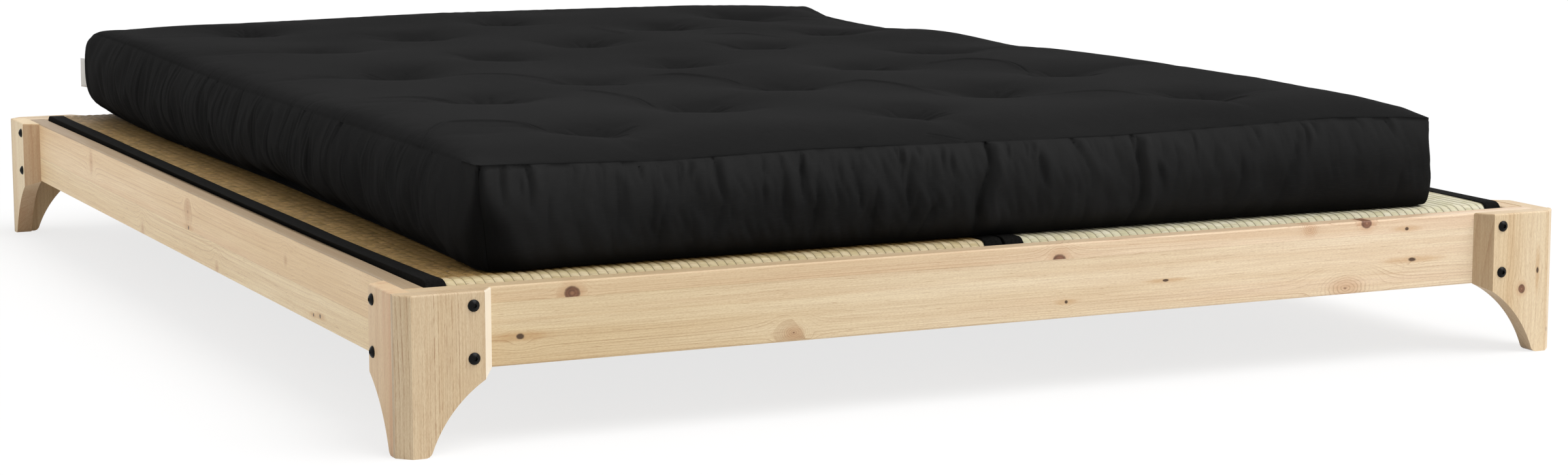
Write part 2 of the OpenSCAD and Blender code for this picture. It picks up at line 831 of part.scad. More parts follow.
at_corner(-1, -1) leg_end_board();  // front_left_leg_end_board
at_corner(-1, -1) leg_side_board();  // front_left_leg_side_board
at_corner(1, -1) leg_end_board();  // front_right_leg_end_board
at_corner(1, -1) leg_side_board();  // front_right_leg_side_board
at_corner(-1, 1) leg_end_board();  // back_left_leg_end_board
at_corner(-1, 1) leg_side_board();  // back_left_leg_side_board
at_corner(1, 1) leg_end_board();  // back_right_leg_end_board
at_corner(1, 1) leg_side_board();  // back_right_leg_side_board
end_rail(-1);  // front_rail
end_rail(1);  // back_rail
side_rail(-1);  // left_rail
side_rail(1);  // right_rail
leg_bolts();
sleeve_nuts();
leg_dowels();
side_cleat(-1);  // left_cleat
side_cleat(1);  // right_cleat
cleat_screws();
centre_beam();
beam_hanger(-1);  // front_beam_hanger
beam_hanger(1);  // back_beam_hanger
hanger_screws();
centre_leg();
centre_leg_screws();
slat_tape(-1);  // left_slat_tape
slat_tape(1);  // right_slat_tape
tape_staples();
slat_screws();
for (i = [1:slat_count])
    slat(i);
mat_core(-1);  // left_mat_core
mat_back_sheet(-1);  // left_mat_back_sheet
mat_rush_cover(-1);  // left_mat_rush_cover
mat_border(-1, -1);  // left_mat_outer_border
mat_border(-1, 1);  // left_mat_inner_border
mat_core(1);  // right_mat_core
mat_back_sheet(1);  // right_mat_back_sheet
mat_rush_cover(1);  // right_mat_rush_cover
mat_border(1, 1);  // right_mat_outer_border
mat_border(1, -1);  // right_mat_inner_border
mattress_top_panel();
mattress_side_band();
mattress_bottom_panel();
mattress_upper_batting();
mattress_core();
mattress_lower_batting();
tuft_threads();
mattress_tag();
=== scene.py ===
import math
import random

import bmesh
import bpy
import numpy as np
from mathutils import Matrix, Vector
from mathutils.kdtree import KDTree


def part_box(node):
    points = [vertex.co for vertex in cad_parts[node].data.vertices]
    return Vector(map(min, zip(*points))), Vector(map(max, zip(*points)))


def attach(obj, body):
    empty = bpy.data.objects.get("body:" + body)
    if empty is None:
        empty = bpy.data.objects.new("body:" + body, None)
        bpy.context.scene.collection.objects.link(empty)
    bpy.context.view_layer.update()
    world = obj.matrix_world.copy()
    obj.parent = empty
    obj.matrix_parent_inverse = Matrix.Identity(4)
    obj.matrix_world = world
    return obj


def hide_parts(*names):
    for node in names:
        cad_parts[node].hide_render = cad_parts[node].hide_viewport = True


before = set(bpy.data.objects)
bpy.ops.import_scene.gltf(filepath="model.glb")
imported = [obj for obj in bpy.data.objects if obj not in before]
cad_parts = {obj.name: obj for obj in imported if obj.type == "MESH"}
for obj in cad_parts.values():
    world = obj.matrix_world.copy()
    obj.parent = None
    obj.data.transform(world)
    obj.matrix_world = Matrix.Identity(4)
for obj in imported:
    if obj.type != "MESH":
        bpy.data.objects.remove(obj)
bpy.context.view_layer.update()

# The view. The bed is looked at from beyond its left foot corner, from the height of a table, so
# that the long left rail runs away to the left and the foot rail crosses the picture.
camera_place = Vector((-2.115, -4.8105, 0.8593))
camera_heading = math.radians(25.213)
camera_tilt = math.radians(8.511)
camera_roll = math.radians(-0.075)
camera_data = bpy.data.cameras.new("camera")
camera_data.lens = 76.78
camera_data.sensor_width = 36.0
camera_data.clip_end = 60.0
camera = bpy.data.objects.new("camera", camera_data)
turned = (
    Matrix.Rotation(-camera_heading, 4, "Z")
    @ Matrix.Rotation(math.pi / 2 - camera_tilt, 4, "X")
    @ Matrix.Rotation(camera_roll, 4, "Z")
)
camera.matrix_world = Matrix.Translation(camera_place) @ turned
bpy.context.scene.collection.objects.link(camera)
bpy.context.scene.camera = camera
bpy.context.scene.view_settings.view_transform = "Standard"


# The room. A pale floor without an end, a white surround, and one wide soft lamp high over the
# right side of the foot end. Rays from the camera and from glossy faces see the room as white.
class Wire:
    """One output in a finish. Sums and products of wires add Math nodes to that finish."""

    def __init__(self, finish, socket):
        self.finish = finish
        self.socket = socket

    def math(self, operation, *others):
        return self.finish.node("Math", {"operation": operation}, dict(enumerate((self, *others))))

    def __add__(self, other):
        return self.math("ADD", other)

    def __sub__(self, other):
        return self.math("SUBTRACT", other)

    def __rsub__(self, other):
        return self * -1.0 + other

    def __mul__(self, other):
        return self.math("MULTIPLY", other)

    def __truediv__(self, other):
        return self.math("DIVIDE", other)

    def __rtruediv__(self, other):
        return self ** -1.0 * other

    def __pow__(self, other):
        return self.math("POWER", other)

    __radd__ = __add__
    __rmul__ = __mul__

    def larger(self, other):
        return self.math("MAXIMUM", other)

    def smaller(self, other):
        return self.math("MINIMUM", other)

    def over(self, edge):
        return self.math("GREATER_THAN", edge)

    def size(self):
        return self.math("ABSOLUTE")

    def fade(self, low, high, start=0.0, end=1.0):
        """Runs smoothly from start where the wire is low to end where it is high."""
        return self.finish.node(
            "MapRange",
            {"interpolation_type": "SMOOTHSTEP"},
            {"Value": self, "From Min": low, "From Max": high, "To Min": start, "To Max": end},
        )


class Finish:
    """A node material, or another node tree, under construction."""

    def __init__(self, name, tree=None):
        if tree is None:
            self.material = bpy.data.materials.new(name)
            self.material.use_nodes = True
            tree = self.material.node_tree
        self.tree = tree
        self.tree.nodes.clear()

    def node(self, kind, settings=None, inputs=None, out=0):
        """Adds a node, sets its settings and then its sockets, and gives one of its outputs."""
        made = self.tree.nodes.new("ShaderNode" + kind)
        for setting, value in (settings or {}).items():
            if setting == "stops":
                for number, (position, colour) in enumerate(value):
                    stops = made.color_ramp.elements
                    stop = stops[number] if number < len(stops) else stops.new(position)
                    stop.position = position
                    stop.color = colour
            else:
                setattr(made, setting, value)
        for socket, value in (inputs or {}).items():
            if isinstance(value, Wire):
                self.tree.links.new(value.socket, made.inputs[socket])
            else:
                made.inputs[socket].default_value = value
        return Wire(self, made.outputs[out]) if made.outputs else None

    def blend(self, factor, first, second, mode="MIX"):
        """Mixes two colours, each given as a wire, as its numbers or as its six-digit web code."""
        first, second = (colour(shade) if isinstance(shade, str) else shade for shade in (first, second))
        settings = {"data_type": "RGBA", "blend_type": mode, "clamp_factor": True}
        return self.node("Mix", settings, {0: factor, 6: first, 7: second}, out=2)

    def split(self, place, axes="XYZ"):
        """A place's numbers along the named axes."""
        return [self.node("SeparateXYZ", None, {0: place}, out=axis) for axis in axes]

    def point(self, x, y, z):
        return self.node("CombineXYZ", None, {0: x, 1: y, 2: z})

    def noise(self, point, scale=1.0, detail=2.0, roughness=0.5, distortion=0.0):
        """Cloudy noise from 0 to 1."""
        sizes = {"Scale": scale, "Detail": detail, "Roughness": roughness, "Distortion": distortion}
        return self.node("TexNoise", None, {"Vector": point, **sizes})

    def relief(self, height, strength, distance, over=None):
        """A fine relief on the face, or over another relief."""
        inputs = {"Strength": strength, "Distance": distance, "Height": height}
        if over is not None:
            inputs["Normal"] = over
        return self.node("Bump", None, inputs)

    def surface(self, tint, roughness, relief, shine=0.5, metallic=0.0):
        """Ends the finish with an opaque face, and gives the finished material."""
        shader = self.node("BsdfPrincipled", None, {
            "Base Color": tint, "Roughness": roughness, "Normal": relief, "Specular IOR Level": shine,
            "Metallic": metallic,
        })
        self.node("OutputMaterial", None, {"Surface": shader})
        return self.material


def colour(code):
    """The linear colour of a six-digit web colour."""
    shares = [int(code[place:place + 2], 16) / 255 for place in (0, 2, 4)]
    linear = [((share + 0.055) / 1.055) ** 2.4 if share > 0.04 else share / 12.92 for share in shares]
    return (*linear, 1.0)


def seen_directly(finish):
    """1 for rays from the camera, from glossy faces and through glass, and 0 for soft light."""
    seen = finish.node("LightPath", out="Is Camera Ray")
    for ray in ("Is Glossy Ray", "Is Transmission Ray"):
        seen = seen.larger(finish.node("LightPath", out=ray))
    return seen


room_light = 0.48
world = bpy.data.worlds.new("studio")
world.use_nodes = True
surround = Finish("studio", world.node_tree)
white = colour("ffffff")
surround_strength = seen_directly(surround) * (1.0 - room_light) + room_light
surround_light = surround.node("Background", None, {"Color": white, "Strength": surround_strength})
surround.node("OutputWorld", None, {"Surface": surround_light})
bpy.context.scene.world = world


def grid(columns, rows, size=1.0):
    """A flat sheet of even cells, which reaches this far from its middle."""
    shape = bmesh.new()
    bmesh.ops.create_grid(shape, x_segments=columns, y_segments=rows, size=size)
    return shape


lamp_data = bpy.data.lights.new("softbox", "SUN")
lamp_data.angle = math.radians(48.0)
lamp_data.energy = 2.4
lamp = bpy.data.objects.new("softbox", lamp_data)
lamp_side = Vector((0.36, -0.38, 0.85))
lamp.matrix_world = lamp_side.to_track_quat("Z", "Y").to_matrix().to_4x4()
bpy.context.scene.collection.objects.link(lamp)

floor_half = 25.0
floor_shape = grid(1, 1, floor_half)
floor_mesh = bpy.data.meshes.new("floor")
floor_shape.to_mesh(floor_mesh)
floor_shape.free()
floor = bpy.data.objects.new("floor", floor_mesh)
bpy.context.scene.collection.objects.link(floor)
# Seen directly, the floor is mostly its own white, and only this share of it takes shadows
shadow_share = 0.24
paint = Finish("floor_paint")
seen_floor = seen_directly(paint)
matt = paint.node("BsdfDiffuse", None, {"Color": colour("f8f8f8")})
glow = paint.node("Emission", None, {"Color": white, "Strength": 1.0})
both = paint.node("MixShader", None, {0: seen_floor * (1.0 - shadow_share), 1: matt, 2: glow})
paint.node("OutputMaterial", None, {"Surface": both})
floor_mesh.materials.append(paint.material)


# The box of rails. Four planed pine boards, 100 mm high and with rounded edges, stand on edge
# between the corner legs. The finish shows each of them as glued up from two strips.
class Board:
    """How a board was cut from its log, and how its grain shows."""

    # How much the log tapers, how wide its year rings are, and how dark their late wood is
    taper = 0.004
    ring = 0.0042
    lines = 0.5
    # How tan the wood is, and a number that shifts all its patterns
    tone = 0.0
    seed = 0.0
    # How broken the ring lines are, how pink the wood is, and how far the rings wander
    dashes = 0.3
    blush = 0.3
    wave = 0.012
    # The heights between which the lines are faint, the colour casts of its two ends, partly its
    # tone and partly painted light and shade, and the axis, sign, strength and colour of painted
    # light and shade on the faces turned one way
    clear = None
    cast = None
    facing_painted_light = None
    # The heights of its glue lines, and three kinds of knot. Each knot has its place along the
    # board, its height, its radius, its strip, and how many times longer than high it is
    seams = ()
    knots = ()
    eye_knots = ()
    dead_knots = ()

    def __init__(self, grain, across, deep, heart, **known):
        self.axes = (grain, across, deep)
        self.heart = heart
        for name, value in known.items():
            setattr(self, name, value)


def grain_noise(wood, places, seed, along_scale, face_scale, detail=2.0):
    """Noise drawn out along the grain, from 0 to 1."""
    along, side, deep = places
    point = wood.point(along * along_scale + seed * 3.7, side * face_scale + seed * 1.9, deep * face_scale)
    return wood.noise(point, 1.0, detail, roughness=0.55)


def knot_reach(along, side, knots, strip, shove):
    """The distance to the nearest knot in knot radii, the same drawn out along the grain, and the
    grain's bend round all the knots, which reaches shove times as far as they do."""
    reach = 99.0
    flow = 99.0
    bend = 0.0
    for knot_along, knot_side, radius, knot_strip, stretch in knots:
        off_along = (along - knot_along) / stretch
        off_side = side - knot_side
        square = off_along * off_along + off_side * off_side
        away = 0.0 if strip is None else (strip - float(knot_strip)).size().smaller(1.0)
        shoved = (radius * shove) ** 2
        bend = bend - off_side * (shoved / square.larger(shoved)) * (1.0 - away)
        near = square.math("SQRT") / radius + away * 99.0
        drawn = (off_along * off_along * 0.05 + off_side * off_side) ** 0.5 / radius + away * 99.0
        reach = near if isinstance(reach, float) else near.smaller(reach)
        flow = drawn if isinstance(flow, float) else drawn.smaller(flow)
    return reach, flow, bend


def year_lines(wood, board, places, bends, strip):
    """The dark late wood of the year rings, which lie round the heart of the log, wander along the
    board and bend round its knots."""
    shifted, side, deep = places
    wander = grain_noise(wood, places, board.seed, 0.8, 2.5, 1.0)
    sway = grain_noise(wood, places, board.seed + 4.0, 5.0, 12.0, 1.0)
    off_side = side - board.heart[0] + (wander - 0.5) * board.wave + (sway - 0.5) * 0.0035
    for bend in bends:
        off_side = off_side + bend
    off_deep = deep - board.heart[1]
    if strip is not None:
        off_side = off_side + strip * 0.031
    radius = (off_side * off_side + off_deep * off_deep) ** 0.5 + shifted * board.taper
    on_line = {"noise_dimensions": "1D"}
    uneven = wood.node("TexNoise", on_line, {"W": radius * 70.0 + board.seed, "Scale": 1.0})
    ring_count = (radius + (uneven - 0.5) * 0.010) / board.ring
    ring = ring_count.math("FRACT")
    year = ring_count.math("FLOOR") * 1.37
    strong = wood.node("TexNoise", on_line, {"W": year + board.seed, "Scale": 1.0})
    late_wood = ring ** 9.0 + ring ** 2.0 * 0.20
    presence = grain_noise(wood, places, board.seed + 9.0, 1.6, 22.0).fade(0.36, 0.66, 0.25, 1.0)
    if board.clear is not None:
        low_side, high_side = board.clear
        window = (side - low_side).fade(0.0, 0.012) * (side - high_side).fade(-0.006, 0.0, 1.0, 0.0)
        presence = presence * (1.0 - window * 0.75)
    dash = grain_noise(wood, places, board.seed + 3.0, 70.0, 700.0).fade(0.35, 0.62, 1.0 - board.dashes, 1.0)
    return late_wood * presence * dash * strong.fade(0.3, 0.65, 0.45, 1.0) * board.lines


def eye_knotted(wood, tint, reach, rough):
    """Adds pale knots with thin rings round a small dark heart."""
    edge = reach + (rough - 0.5) * 0.35
    rings = (edge * 24.0).math("SINE").fade(0.1, 1.0)
    tint = wood.blend(edge.fade(0.5, 1.6, 0.42, 0.0), tint, "bd8f66")
    rings = rings * edge.fade(0.7, 2.6, 0.36, 0.0) * rough.fade(0.3, 0.6, 0.3, 1.0)
    tint = wood.blend(rings, tint, "8f6443")
    return wood.blend(edge.fade(0.05, 0.22, 0.7, 0.0), tint, "6b432b")


def live_knotted(wood, tint, reach, rough):
    """Adds brown knots, ringed inside, with a thin line of bark round them."""
    edge = reach + (rough - 0.5) * 0.5
    rings = (edge * 14.0).math("SINE").fade(-0.4, 1.0)
    live = wood.blend(rings * 0.25 + rough.fade(0.35, 0.65, 0.0, 0.5), "5f3b29", "8f6147")
    live = wood.blend(edge.fade(0.05, 0.4, 0.35, 0.0), live, "b98866")
    tint = wood.blend(edge.fade(1.0, 2.4, 0.32, 0.0), tint, "b98258")
    tint = wood.blend(edge.fade(0.80, 1.04, 0.95, 0.0), tint, live)
    bark = edge.fade(0.80, 0.92) * edge.fade(0.96, 1.12, 0.5, 0.0)
    return wood.blend(bark, tint, "4f3022")


def dead_knotted(wood, tint, reach, flow, rough):
    """Adds small dark knots in a stain drawn out along the grain."""
    edge = reach + (rough - 0.5) * 0.8
    stain = (flow + (rough - 0.5) * 0.8).fade(0.5, 2.2, 0.45, 0.0)
    tint = wood.blend(stain, tint, "b98952")
    return wood.blend(edge.fade(0.6, 1.1, 0.95, 0.0), tint, "46301f")


def pine_finish(name, board):
    """Clear lacquered pine: year rings cut by the board's faces, three kinds of knot, glue lines."""
    wood = Finish(name)
    x, y, z = wood.split(wood.node("TexCoord", out="Object"))
    along, side, deep = ({"x": x, "y": y, "z": z}[axis] for axis in board.axes)
    strip = None
    glue = None
    for seam in board.seams:
        above = side.over(seam)
        strip = above if strip is None else strip + above
        line = (side - seam).size().fade(0.0, 0.0006, 1.0, 0.0)
        glue = line if glue is None else glue.larger(line)
    shifted = along + board.seed
    if strip is not None:
        shifted = shifted + strip * 2.3
    places = (shifted, side, deep)
    reach, _, bend = knot_reach(along, side, board.knots, strip, 1.9)
    eye_reach, _, eye_bend = knot_reach(along, side, board.eye_knots, strip, 2.3)
    dead_reach, dead_flow, dead_bend = knot_reach(along, side, board.dead_knots, strip, 2.2)
    lines = year_lines(wood, board, places, (bend, eye_bend, dead_bend), strip)

    def speckle(seed, along_scale, face_scale, detail=2.0):
        return grain_noise(wood, places, board.seed + seed, along_scale, face_scale, detail)

    # Slow changes from cream to tan and to pink, year lines, fine fibres and pores, resin flecks
    late = "a3744a"
    fibres = speckle(2.0, 11.0, 620.0)
    patches = speckle(5.0, 1.1, 14.0, 3.0).fade(0.3, 0.72)
    tint = wood.blend(patches * 0.7 + board.tone, "eddab8", "dcc298")
    tint = wood.blend(speckle(7.0, 1.5, 34.0, 3.0).fade(0.5, 0.78) * board.blush, tint, "d3ab88")
    tint = wood.blend(speckle(8.0, 0.8, 110.0, 3.0).fade(0.50, 0.72) * 0.26, tint, "c59e72")
    tint = wood.blend(lines, tint, "95633b")
    tint = wood.blend(fibres.fade(0.25, 0.75, 0.0, 0.21), tint, late)
    tint = wood.blend(speckle(12.0, 240.0, 1300.0, 1.0).fade(0.35, 0.75, 0.0, 0.22), tint, late)
    tint = wood.blend(speckle(6.0, 40.0, 1100.0, 1.0).fade(0.66, 0.78) * 0.5, tint, "9a6a44")
    if glue is not None:
        tint = wood.blend(strip * 0.20, tint, "d9b08c")
        tint = wood.blend(glue * 0.30, tint, "a57c52")
    rough = speckle(11.0, 55.0, 90.0, 3.0)
    if board.eye_knots:
        tint = eye_knotted(wood, tint, eye_reach, rough)
    if board.knots:
        tint = live_knotted(wood, tint, reach, rough)
    if board.dead_knots:
        tint = dead_knotted(wood, tint, dead_reach, dead_flow, rough)
    # Each end of the board gets its colour cast, partly its tone and partly painted light and shade
    if board.cast:
        casts = [(*cast, 1.0) for cast in board.cast]
        tint = wood.blend(1.0, tint, wood.blend(along.fade(-0.7, 0.7), *casts), mode="MULTIPLY")

    # End grain drinks more lacquer and is darker
    facing = wood.node("TexCoord", out="Normal")
    (turned_to,) = wood.split(facing, board.axes[0].upper())
    tint = wood.blend(turned_to.size().fade(0.72, 0.95) * 0.24, tint, "d0b28c")
    # Faces turned one way get painted light: a highlight on some boards and painted shade on others
    if board.facing_painted_light:
        axis, sign, share, code = board.facing_painted_light
        (turned_to,) = wood.split(facing, axis)
        tint = wood.blend((turned_to * sign).fade(0.3, 0.7, 0.0, share), tint, code)
    relief = wood.relief(lines * 0.3 + fibres * 0.4, 0.25, 0.0003)
    return wood.surface(tint, fibres.fade(0.0, 1.0, 0.42, 0.52), relief, shine=0.35)


def dress(node, material):
    """Gives a CAD node's object its finish."""
    for material_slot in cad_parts[node].material_slots:
        material_slot.material = material


def random_knots(seed, count, along, side, sizes, strips=1):
    """Knots strewn over a board: along and side are the ranges they lie in."""
    chance = random.Random(seed)
    drawn = (along, side, sizes)
    return [
        (*(chance.uniform(*limits) for limits in drawn), chance.randrange(strips), 1.25)
        for _ in range(count)
    ]


glue_line = 0.1795
rail_faces = (0.103, 0.197)
large_knots = (0.007, 0.014)
small_knots = (0.003, 0.005)
back_knots = random_knots(11, 5, (-0.8, 0.8), rail_faces, large_knots, strips=2)
right_knots = random_knots(13, 5, (-0.95, 0.95), rail_faces, (0.006, 0.013), strips=2)
# The casts of the foot and left rails are partly painted light and shade: the left rail is lightened all
# over, and its top faces get painted shade
rails = {
    "front_rail": ("foot_rail_pine", Board(
        "x", "z", "y", heart=(0.04, -0.985), ring=0.0036, lines=0.85, wave=0.016, clear=(0.134, glue_line),
        cast=((0.88, 0.88, 0.84), (1.13, 1.18, 1.32)), seams=[glue_line],
        knots=[
            (-0.624, 0.1840, 0.0088, 1, 1.2), (0.064, 0.1775, 0.0088, 1, 1.1),
            (0.550, 0.1965, 0.0070, 1, 1.2),
        ],
        eye_knots=[
            (-0.323, 0.1115, 0.0080, 0, 1.5), (0.517, 0.1085, 0.0130, 0, 1.9),
            (0.457, 0.1935, 0.0085, 1, 1.2),
        ],
        dead_knots=[
            (-0.693, 0.1353, 0.0042, 0, 1.4), (0.075, 0.1219, 0.0026, 0, 1.0),
            (0.228, 0.1399, 0.0020, 0, 2.6), (0.617, 0.1849, 0.0028, 1, 1.3),
            (0.627, 0.1412, 0.0032, 0, 2.4),
        ],
    )),
    "left_rail": ("left_rail_pine", Board(
        "y", "z", "x", heart=(0.05, -0.77), ring=0.0046, lines=0.6, seed=3.0, wave=0.03, blush=0.5,
        cast=((1.22, 1.22, 1.16), (1.30, 1.30, 1.26)), facing_painted_light=("Z", 1.0, 0.68, "6b5844"), seams=[0.1425],
        eye_knots=[
            (0.5626, 0.1760, 0.0170, 1, 0.55), (-0.0280, 0.1700, 0.0160, 1, 0.6),
            (0.2400, 0.1080, 0.0080, 0, 0.8), (-0.1783, 0.1074, 0.0080, 0, 0.9),
            (-0.519, 0.1660, 0.0060, 1, 1.0),
        ],
        dead_knots=[
            (-0.030, 0.1460, 0.0036, 1, 1.0), (-0.669, 0.1139, 0.0034, 0, 1.0),
            (-0.640, 0.1112, 0.0026, 0, 1.0),
        ],
    )),
    "back_rail": ("head_rail_pine", Board(
        "x", "z", "y", heart=(0.10, 0.96), ring=0.0044, lines=0.5, seed=7.0, wave=0.03, seams=[glue_line],
        knots=back_knots[:2], eye_knots=back_knots[2:],
        dead_knots=random_knots(12, 4, (-0.8, 0.8), rail_faces, small_knots, strips=2),
    )),
    "right_rail": ("right_rail_pine", Board(
        "y", "z", "x", heart=(0.05, 0.76), ring=0.0042, lines=0.5, tone=0.05, seed=12.0, wave=0.03,
        seams=[0.158], knots=right_knots[:2], eye_knots=right_knots[2:],
        dead_knots=random_knots(14, 4, (-0.95, 0.95), rail_faces, small_knots, strips=2),
    )),
}
for node, (name, board) in rails.items():
    dress(node, pine_finish(name, board))


# The corner legs. Two upright boards meet in an L at each corner, the end board lapping over the
# side board, with a chamfered outer corner and an arch sawn out under each arm.
# The legs' casts are partly painted light and shade. The front left end board's faces turned right get a
# painted highlight, and the front right end board's faces turned left and the back left side board's faces
# turned to the foot get painted shade
leg_boards = {
    ("front_left", "end"): Board(
        "z", "x", "y", (-0.99, -1.10), ring=0.0030, lines=1.5, tone=0.22, seed=1.0, dashes=0.75, wave=0.006,
        cast=((0.85, 0.85, 0.86),) * 2, facing_painted_light=("X", 1.0, 0.7, "fff6e4"),
    ),
    ("front_left", "side"): Board(
        "z", "y", "x", (-0.80, -0.78), taper=0.01, ring=0.0050, lines=0.5, tone=0.2, seed=2.0, blush=0.9,
        cast=((1.06, 0.99, 0.94),) * 2,
    ),
    ("front_right", "end"): Board(
        "z", "x", "y", (0.89, -0.99), taper=0.02, ring=0.0055, lines=0.6, seed=5.0, tone=-0.05,
        knots=[(0.0914, 0.797, 0.0058, 0, 1.1)], facing_painted_light=("X", -1.0, 0.42, "7d5c3c"),
        dead_knots=[(0.1165, 0.8235, 0.0026, 0, 2.0), (0.030, 0.845, 0.0024, 0, 1.5)],
    ),
    ("front_right", "side"): Board(
        "z", "y", "x", (-0.90, 0.80), taper=0.02, ring=0.006, lines=0.35, seed=6.0,
    ),
    ("back_left", "end"): Board(
        "z", "x", "y", (-0.70, 1.0), taper=0.02, ring=0.006, lines=0.4, tone=0.1, seed=8.0,
    ),
    ("back_left", "side"): Board(
        "z", "y", "x", (1.10, -0.80), taper=0.02, ring=0.005, lines=0.4, tone=0.1, seed=9.0,
        cast=((1.20, 1.24, 1.22),) * 2, facing_painted_light=("Y", -1.0, 0.5, "844208"),
    ),
    ("back_right", "end"): Board(
        "z", "x", "y", (0.95, 1.02), taper=0.02, ring=0.0055, lines=0.45, seed=10.0,
        knots=[(0.135, 0.79, 0.007, 0, 1.2)],
    ),
    ("back_right", "side"): Board(
        "z", "y", "x", (0.85, 0.90), taper=0.02, ring=0.0048, lines=0.5, tone=0.2, seed=11.0,
    ),
}
for (corner_name, part_name), board in leg_boards.items():
    dress(f"{corner_name}_leg_{part_name}_board", pine_finish(f"{corner_name}_{part_name}_pine", board))


# The corner fittings. Black socket-head bolts pass the leg boards and screw into zinc-plated
# sleeve nuts in the rails, and beech dowels pin the two boards of each leg.
def metal_finish(name, base, dark, metallic, roughness, grain, shine=0.5):
    """Plated or blackened steel, with cloudy plating and fine tumbling marks."""
    metal = Finish(name)
    place = metal.node("TexCoord", out="Object")
    clouds = metal.noise(place, grain, 4.0, roughness=0.6)
    marks = metal.noise(place, grain * 14.0)
    tint = metal.blend(clouds.fade(0.3, 0.7), base, dark)
    dull = clouds * 0.10 + marks * 0.10 + (roughness - 0.1)
    return metal.surface(tint, dull, metal.relief(marks + clouds, 0.12, 0.0002), shine, metallic)


zinc = metal_finish("zinc_plate", "c9ccd0", "9fa3a8", 1.0, 0.34, 260.0)
dress("leg_bolts", metal_finish("black_oxide", "050505", "0c0b0b", 0.0, 0.30, 420.0, shine=0.12))
dress("sleeve_nuts", zinc)
beech = Board("x", "z", "y", (0.3, 0.2), ring=0.0011, lines=0.3, tone=0.5, seed=31.0)
dress("leg_dowels", pine_finish("beech_dowel", beech))


# The bearers. Spruce cleats run along the side rails, and a middle beam hangs in two folded steel
# hangers on the end rails and stands on a square middle leg. Everything is held by wood screws.
cleat_width = 0.024
beam_face = (-0.03, 0.03)
for side_name, cleat_x, seed in (("left", -0.79, 21), ("right", 0.79, 24)):
    cleat_face = (cleat_x - cleat_width / 2, cleat_x + cleat_width / 2)
    cleat = Board(
        "y", "x", "z", heart=(cleat_x + 0.04, 0.03), ring=0.0038, lines=0.42, tone=0.15, seed=seed,
        knots=random_knots(seed, 4, (-0.9, 0.9), cleat_face, (0.004, 0.008)),
    )
    dress(side_name + "_cleat", pine_finish(side_name + "_cleat_spruce", cleat))
beam = Board(
    "y", "x", "z", heart=(0.01, 0.02), taper=0.009, ring=0.004, lines=0.45, tone=0.12, seed=27.0,
    knots=random_knots(28, 6, (-0.95, 0.95), beam_face, (0.005, 0.011)),
)
dress("centre_beam", pine_finish("beam_spruce", beam))
post = Board(
    "z", "x", "y", heart=(0.05, -0.06), taper=0.02, ring=0.005, lines=0.45, tone=0.1, seed=29.0,
    knots=[(0.06, -0.008, 0.006, 0, 1.2)],
)
dress("centre_leg", pine_finish("post_spruce", post))
spangle = metal_finish("galvanised_sheet", "b9bdc0", "8f9499", 1.0, 0.42, 90.0)
for node in ("front_beam_hanger", "back_beam_hanger"):
    dress(node, spangle)
for node in ("cleat_screws", "hanger_screws", "centre_leg_screws", "slat_screws"):
    dress(node, zinc)


# The slats. Fourteen spruce slats with eased edges are joined into one roll by two webbing tapes,
# which are stapled to their undersides. The end slats are screwed down.
for number in range(1, 15):
    low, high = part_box(f"slat_{number}")
    middle = (low.y + high.y) / 2
    chance = random.Random(100 + number)
    heart = (middle + chance.uniform(-0.06, 0.06), chance.uniform(-0.02, 0.09))
    slat_face = (low.y + 0.008, high.y - 0.008)
    slat = Board(
        "x", "y", "z", heart, taper=chance.uniform(0.004, 0.012), ring=chance.uniform(0.003, 0.005),
        lines=0.42, tone=chance.uniform(-0.1, 0.25), seed=40.0 + number,
        knots=random_knots(200 + number, chance.randrange(1, 4), (-0.78, 0.78), slat_face, (0.004, 0.010)),
    )
    dress(f"slat_{number}", pine_finish(f"slat_{number}_spruce", slat))

webbing = Finish("tape_webbing")
place = webbing.node("TexCoord", out="Object")
across, run = webbing.split(place, "XY")
ribs = ((across * 3100.0).math("SINE") * (run * 2600.0).math("SINE")).fade(-1.0, 1.0)
lint = webbing.noise(place, 600.0, 3.0)
cloth_tint = webbing.blend(ribs * 0.6 + lint * 0.3, "d8d2c4", "f0ece2")
webbing.surface(cloth_tint, 0.85, webbing.relief(ribs, 0.5, 0.0003))
dress("left_slat_tape", webbing.material)
dress("right_slat_tape", webbing.material)
dress("tape_staples", zinc)


# The straw cores of the two mats. Pressed rice straw, stitched into a flat block with eased ends,
# on a coarse woven back sheet.
def joined(name, shape):
    """Makes a finished shape an object of that name, smooth shaded."""
    mesh = bpy.data.meshes.new(name)
    shape.to_mesh(mesh)
    shape.free()
    mesh.shade_smooth()
    made = bpy.data.objects.new(name, mesh)
    bpy.context.scene.collection.objects.link(made)
    return made


def moved(shape, place):
    """Moves every corner of a shape: place takes an array of points and gives their new places."""
    points = np.array([corner.co for corner in shape.verts])
    for corner, point in zip(shape.verts, place(points)):
        corner.co = point


def face_up(shape):
    """Turns a sheet's faces all one way, so that the highest of them looks up."""
    bmesh.ops.recalc_face_normals(shape, faces=shape.faces)
    if max(shape.faces, key=lambda face: face.calc_center_median().z).normal.z < 0:
        bmesh.ops.reverse_faces(shape, faces=shape.faces)


